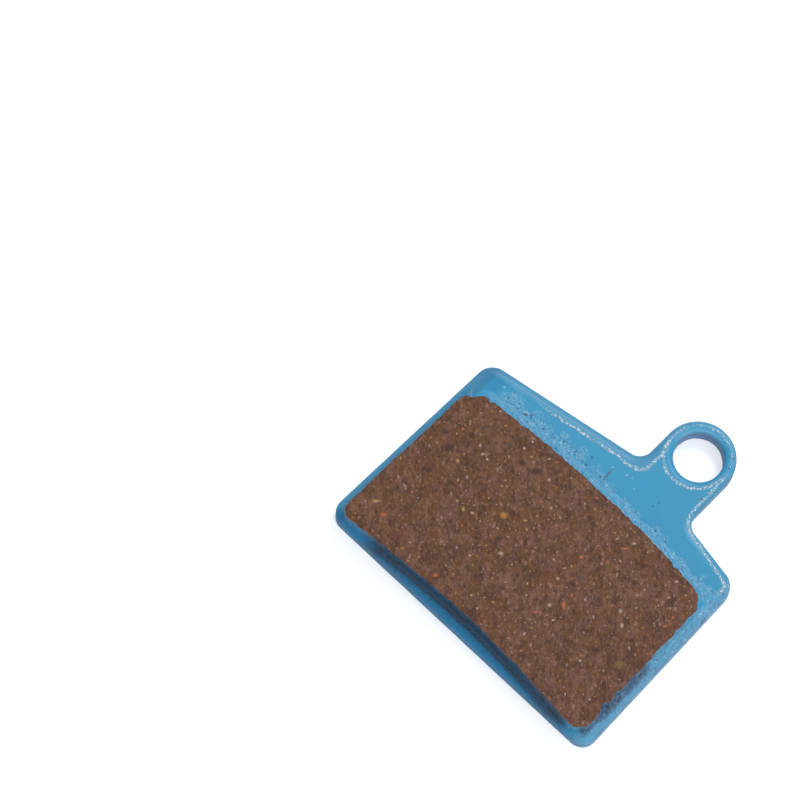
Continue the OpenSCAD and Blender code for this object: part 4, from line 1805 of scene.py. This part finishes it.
@dataclass(frozen=True)
class CoatedWall:
    """The same coat over the block's rough walls and flash."""

    tones: CoatTones
    lip_highlight: Colour = (0.13, 0.22, 0.30)
    face_z: float = 3.8
    foot_z: Span = (2.15, 2.45)
    lip_below: Span = (0.16, 0.06)
    pit_depth: float = 0.05
    lump_height: float = 0.09

    def build(self, effects: SharedEffects) -> bpy.types.Material:
        """Builds the material.

        Args:
            effects: the shared node groups.

        Returns:
            The material.
        """
        tones = self.tones
        material, graph, shader = new_material("coated_compound")
        place = graph.millimetres()
        _, _, z = graph.parts(place)
        colour, height = tones.layered(graph, place, effects)
        # The walls are darkened with navy blotches and dark pits: rough dark paint, and in part painted shade
        # of the walls.
        wall = graph.step(z, *self.foot_z)
        drawn = graph.drawn_out(place, effects.streak_stretch)
        blotch = graph.noise(drawn, 0.6, 4.0, 0.65)
        colour = graph.mix(graph.times(wall, graph.step(blotch, 0.45, 0.65), 0.5), colour, tones.navy)
        pits = graph.group(effects.speckle, Place=place, Density=2.2, Share=0.2, Reach=0.22)
        pitted = graph.times(pits.outputs["Mask"], wall)
        colour = graph.mix(graph.times(pitted, 0.6), colour, tones.charcoal)
        # Painted highlight: a paler blue-grey edge just under the ground face, broken up by blotches.
        high = graph.step(z, *(self.face_z - below for below in self.lip_below))
        lit_rim = graph.times(high, graph.step(blotch, 0.4, 0.55))
        colour = graph.mix(graph.times(lit_rim, 0.5), colour, self.lip_highlight)
        graph.feed(shader.inputs["Base Color"], colour)
        shader.inputs["Roughness"].default_value = tones.roughness
        shader.inputs["Specular IOR Level"].default_value = tones.specular
        lumps = graph.math("SUBTRACT", graph.noise(place, 0.24, 4.0, 0.65), 0.5)
        height = graph.math("ADD", height, graph.times(lumps, wall, self.lump_height))
        bump(graph, shader, graph.math("MULTIPLY_ADD", pitted, -self.pit_depth, height))
        return material


@dataclass(frozen=True)
class FrictionCompound:
    """Bare compound: ground flat on top, and rough in the plugs, where some paint is left."""

    brown: Colour = (0.128, 0.053, 0.030)
    dark: Colour = (0.055, 0.023, 0.016)
    pale: Colour = (0.25, 0.13, 0.082)
    olive_tint: Colour = (0.132, 0.057, 0.022)
    plum_tint: Colour = (0.162, 0.074, 0.049)
    paint: Colour = (0.03, 0.30, 0.53)
    charcoal: Colour = (0.02, 0.03, 0.05)
    olive: Colour = (0.085, 0.06, 0.025)
    roughness: float = 0.5
    specular: float = 0.2
    stroke_turn: float = 44.0
    stroke_scale: tuple[float, float, float] = (0.8, 1.3, 1.0)
    drift_x: Span = (-20.0, 8.0)
    stone_size: float = 0.95
    pore_size: float = 0.36
    pore_depth: float = 0.12
    back_z: Span = (1.0, 0.8)
    tone_layers: tuple[tuple[float, float, float], ...] = (
        (1.3, 2.0, 0.25), (0.6, 2.0, 0.62), (0.32, 1.0, 0.5),
    )
    flecks: tuple[tuple[float, float, float, Mineral, float], ...] = (
        (1.3, 0.3, 0.3, Mineral.DARK, 0.55), (2.4, 0.3, 0.26, Mineral.PALE, 0.5),
        (2.0, 0.1, 0.26, Mineral.OCHRE, 0.5), (1.3, 0.35, 0.32, Mineral.TAN, 0.8),
        (1.7, 0.1, 0.28, Mineral.SLATE, 0.3), (1.9, 0.4, 0.34, Mineral.DARK, 0.75),
        (1.6, 0.3, 0.3, Mineral.PALE, 0.4),
    )

    def build(self, effects: SharedEffects) -> bpy.types.Material:
        """Builds the material.

        Args:
            effects: the shared node groups.

        Returns:
            The material.
        """
        material, graph, shader = new_material("friction_compound")
        place = graph.millimetres()
        _, _, z = graph.parts(place)
        compound, pores = self.ground_colour(graph, place, effects)
        back = graph.step(z, *self.back_z)
        colour = graph.mix(back, compound, self.plug_colour(graph, place, effects))
        graph.feed(shader.inputs["Base Color"], colour)
        shader.inputs["Roughness"].default_value = self.roughness
        shader.inputs["Specular IOR Level"].default_value = self.specular
        bump(graph, shader, pores)
        return material

    def ground_colour(self, graph: Graph, place: Socket, effects: SharedEffects) -> tuple[Socket, Socket]:
        """Paints the ground face.

        Args:
            graph: the material's nodes.
            place: the place on the object, in millimetres.
            effects: the shared node groups.

        Returns:
            Its colour, and the height of its pores.
        """
        x, _, _ = graph.parts(place)
        slow = graph.math("MULTIPLY_ADD", graph.noise(place, 4.0, 2.0), 8.0, graph.math("ADD", x, -4.0))
        colour = graph.mix(graph.step(slow, *self.drift_x), self.olive_tint, self.plum_tint)
        colour = graph.mix(graph.step(graph.noise(place, 2.2, 3.0), 0.4, 0.62), colour, self.brown)
        drawn = graph.node("ShaderNodeMapping", vector_type="TEXTURE")
        graph.feed(drawn.inputs["Vector"], place)
        graph.feed(drawn.inputs["Rotation"], (0.0, 0.0, math.radians(self.stroke_turn)))
        graph.feed(drawn.inputs["Scale"], self.stroke_scale)
        strokes = drawn.outputs[0]
        stones = graph.cells(graph.warped(strokes, 0.5, 0.5), self.stone_size, feature="SMOOTH_F1")
        graph.feed(stones.inputs["Smoothness"], 0.35)
        hue, tone, _ = graph.parts(stones.outputs["Color"])
        for chance, low, high, tint, share in (
            (hue, 0.55, 0.75, self.olive_tint, 0.8), (hue, 0.45, 0.25, self.plum_tint, 0.8),
            (tone, 0.74, 0.88, self.dark, 0.4), (tone, 0.24, 0.1, self.pale, 0.22),
        ):
            colour = graph.mix(graph.times(graph.step(chance, low, high), share), colour, tint)
        for size, detail, share in self.tone_layers:
            tone = graph.noise(strokes, size, detail, 0.55)
            colour = graph.mix(graph.times(graph.step(tone, 0.5, 0.28), share), colour, self.dark)
            colour = graph.mix(graph.times(graph.step(tone, 0.55, 0.75), share * 0.8), colour, self.pale)
        wavering = graph.warped(strokes, 0.17, 0.4)
        for index, (density, share, reach, mineral, strength) in enumerate(self.flecks):
            shifted = graph.vector("ADD", wavering, (7.3 * index + 1.1, 3.7 * index, 0.0)).outputs[0]
            fleck = graph.group(effects.speckle, Place=shifted, Density=density, Share=share, Reach=reach)
            colour = graph.mix(graph.times(fleck.outputs["Mask"], strength), colour, mineral.value)
        grain = graph.node("ShaderNodeAttribute", attribute_name="grain", attribute_type="GEOMETRY")
        worn = graph.step(graph.noise(place, 0.12, 2.0), 0.3, 0.7, to=(0.0, 0.3))
        toned = graph.mix(worn, grain.outputs["Color"], self.brown)
        colour = graph.mix(graph.times(grain.outputs["Alpha"], 0.85), colour, toned)
        return colour, graph.times(graph.noise(strokes, self.pore_size, 3.0, 0.6), self.pore_depth)

    def plug_colour(self, graph: Graph, place: Socket, effects: SharedEffects) -> Socket:
        """Paints the plugs' backs: bare compound with blue paint left in the middle.

        Args:
            graph: the material's nodes.
            place: the place on the object, in millimetres.
            effects: the shared node groups.

        Returns:
            The colour.
        """
        edges = graph.group(effects.edges, Place=place)
        mottle = graph.step(graph.noise(place, 0.3, 4.0, 0.7), 0.3, 0.7)
        bare = graph.mix(mottle, self.charcoal, self.olive)
        middle = graph.step(edges.outputs["Key"], 2.6, 1.4)
        grit = graph.math("MULTIPLY_ADD", middle, 0.25, graph.noise(place, 0.3, 4.0, 0.75))
        return graph.mix(graph.step(grit, 0.62, 0.68), bare, self.paint)


@dataclass
class Studio:
    """The pale floor, the soft lights and the camera, in millimetres in the pin hole's frame."""

    eye: Vector = field(default_factory=lambda: Vector((69.233, -142.993, 472.667)))
    aim: Vector = field(default_factory=lambda: Vector((-25.199, -15.739, 0.0)))
    up: Vector = field(default_factory=lambda: Vector((-0.6657, 0.6764, 0.3151)))
    focal_px: float = 5088.2
    image_px: float = 800.0
    floor_w: float = 4000.0
    floor_gap: float = 0.02
    floor_paint: Colour = (0.86, 0.87, 0.88)
    sky: float = 0.64
    floor_glow: float = 0.45
    sensor_mm: float = 36.0
    clip_m: Span = (0.01, 20.0)
    pad: Vector = field(default_factory=lambda: Vector((-5.0, -12.0, 2.0)))

    def build(self) -> None:
        """Builds the stage."""
        self.camera()
        self.floor()
        self.world()
        self.softbox("key_light", Vector((-0.10, 0.62, 0.78)), distance=600, width=160, watts=1.15)
        self.softbox(
            "side_light", Vector((0.85, 0.0, 0.55)), distance=350, width=200, watts=0.3, glossy=False
        )
        bpy.context.scene.view_settings.view_transform = "Standard"

    def camera(self) -> None:
        """Places the camera at the photograph's viewing angle."""
        data = bpy.data.cameras.new("camera")
        data.sensor_width = self.sensor_mm
        data.lens = data.sensor_width * self.focal_px / self.image_px
        data.clip_start, data.clip_end = self.clip_m
        camera = bpy.data.objects.new("camera", data)
        bpy.context.scene.collection.objects.link(camera)
        ahead = (self.aim - self.eye).normalized()
        right = ahead.cross(self.up).normalized()
        turned = Matrix((right, right.cross(ahead), -ahead)).transposed()
        camera.matrix_world = Matrix.Translation(self.eye * MM) @ turned.to_4x4()
        bpy.context.scene.camera = camera

    def softbox(
        self, name: str, towards: Vector, distance: float, width: float, watts: float, glossy: bool = True
    ) -> None:
        """Places a square area light that faces the pad.

        Args:
            name: the light's name.
            towards: the direction from the pad to the light.
            distance: how far away it is.
            width: the length of its sides.
            watts: its power.
            glossy: whether it shows in gloss.
        """
        data = bpy.data.lights.new(name, "AREA")
        data.size, data.energy = width * MM, watts
        light = bpy.data.objects.new(name, data)
        bpy.context.scene.collection.objects.link(light)
        light.visible_glossy = glossy
        light.rotation_mode = "QUATERNION"
        light.rotation_quaternion = towards.normalized().to_track_quat("Z", "Y")
        light.location = (self.pad + towards.normalized() * distance) * MM

    def floor(self) -> None:
        """Lays the pale floor, which shows white to the camera and keeps the pad's shadow."""
        mesh = bmesh.new()
        bmesh.ops.create_grid(mesh, x_segments=1, y_segments=1, size=self.floor_w / 2)
        bmesh.ops.translate(mesh, vec=Vector((0, 0, -self.floor_gap)), verts=mesh.verts)
        floor = finished(mesh, "floor", sharp_deg=30)
        material, graph, shader = new_material("pale_floor")
        shader.inputs["Base Color"].default_value = (*self.floor_paint, 1)
        shader.inputs["Roughness"].default_value = 1.0
        shader.inputs["Specular IOR Level"].default_value = 0.0
        shader.inputs["Emission Color"].default_value = (1, 1, 1, 1)
        seen = graph.node("ShaderNodeLightPath").outputs["Is Camera Ray"]
        graph.feed(shader.inputs["Emission Strength"], graph.math("MULTIPLY", seen, self.floor_glow))
        floor.data.materials.append(material)

    def world(self) -> None:
        """Surrounds the pad with a plain sky: soft fill, seen as white by the camera and in gloss."""
        world = bpy.data.worlds.new("studio")
        world.use_nodes = True
        graph = Graph(world.node_tree)
        background = world.node_tree.nodes["Background"]
        path = graph.node("ShaderNodeLightPath")
        kinds = ("Camera", "Glossy", "Transmission")
        seen = graph.highest(*(path.outputs[f"Is {kind} Ray"] for kind in kinds))
        graph.feed(background.inputs["Strength"], graph.math("MULTIPLY_ADD", seen, 1.0 - self.sky, self.sky))
        background.inputs["Color"].default_value = (1, 1, 1, 1)
        bpy.context.scene.world = world


def dress(piece: bpy.types.Object, materials: list[bpy.types.Material], node: str) -> None:
    """Gives a piece its materials, and its place in the frame.

    Args:
        piece: the finished piece.
        materials: what it is made of, in the order that its faces count them.
        node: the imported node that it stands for.
    """
    for material in materials:
        piece.data.materials.append(material)
    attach(piece, BODY)
    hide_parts(node)
    LOG.info("%s stands for %s: %d vertices", piece.name, node, len(piece.data.vertices))


def main() -> None:
    """Builds the pad and its stage around the frame."""
    logging.basicConfig(level=logging.INFO, format="%(name)s: %(message)s")
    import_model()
    Studio().build()
    shape = PlateShape()
    block = FrictionBlock(shape)
    effects = SharedEffects(block)
    tones = CoatTones()
    dress(Backplate(shape).build(), [PowderCoat(tones).build(effects)], "backplate")
    finishes = [CoatedWall(tones).build(effects), FrictionCompound().build(effects)]
    dress(block.build(), finishes, "friction_block")


if __name__ == "__main__":
    main()
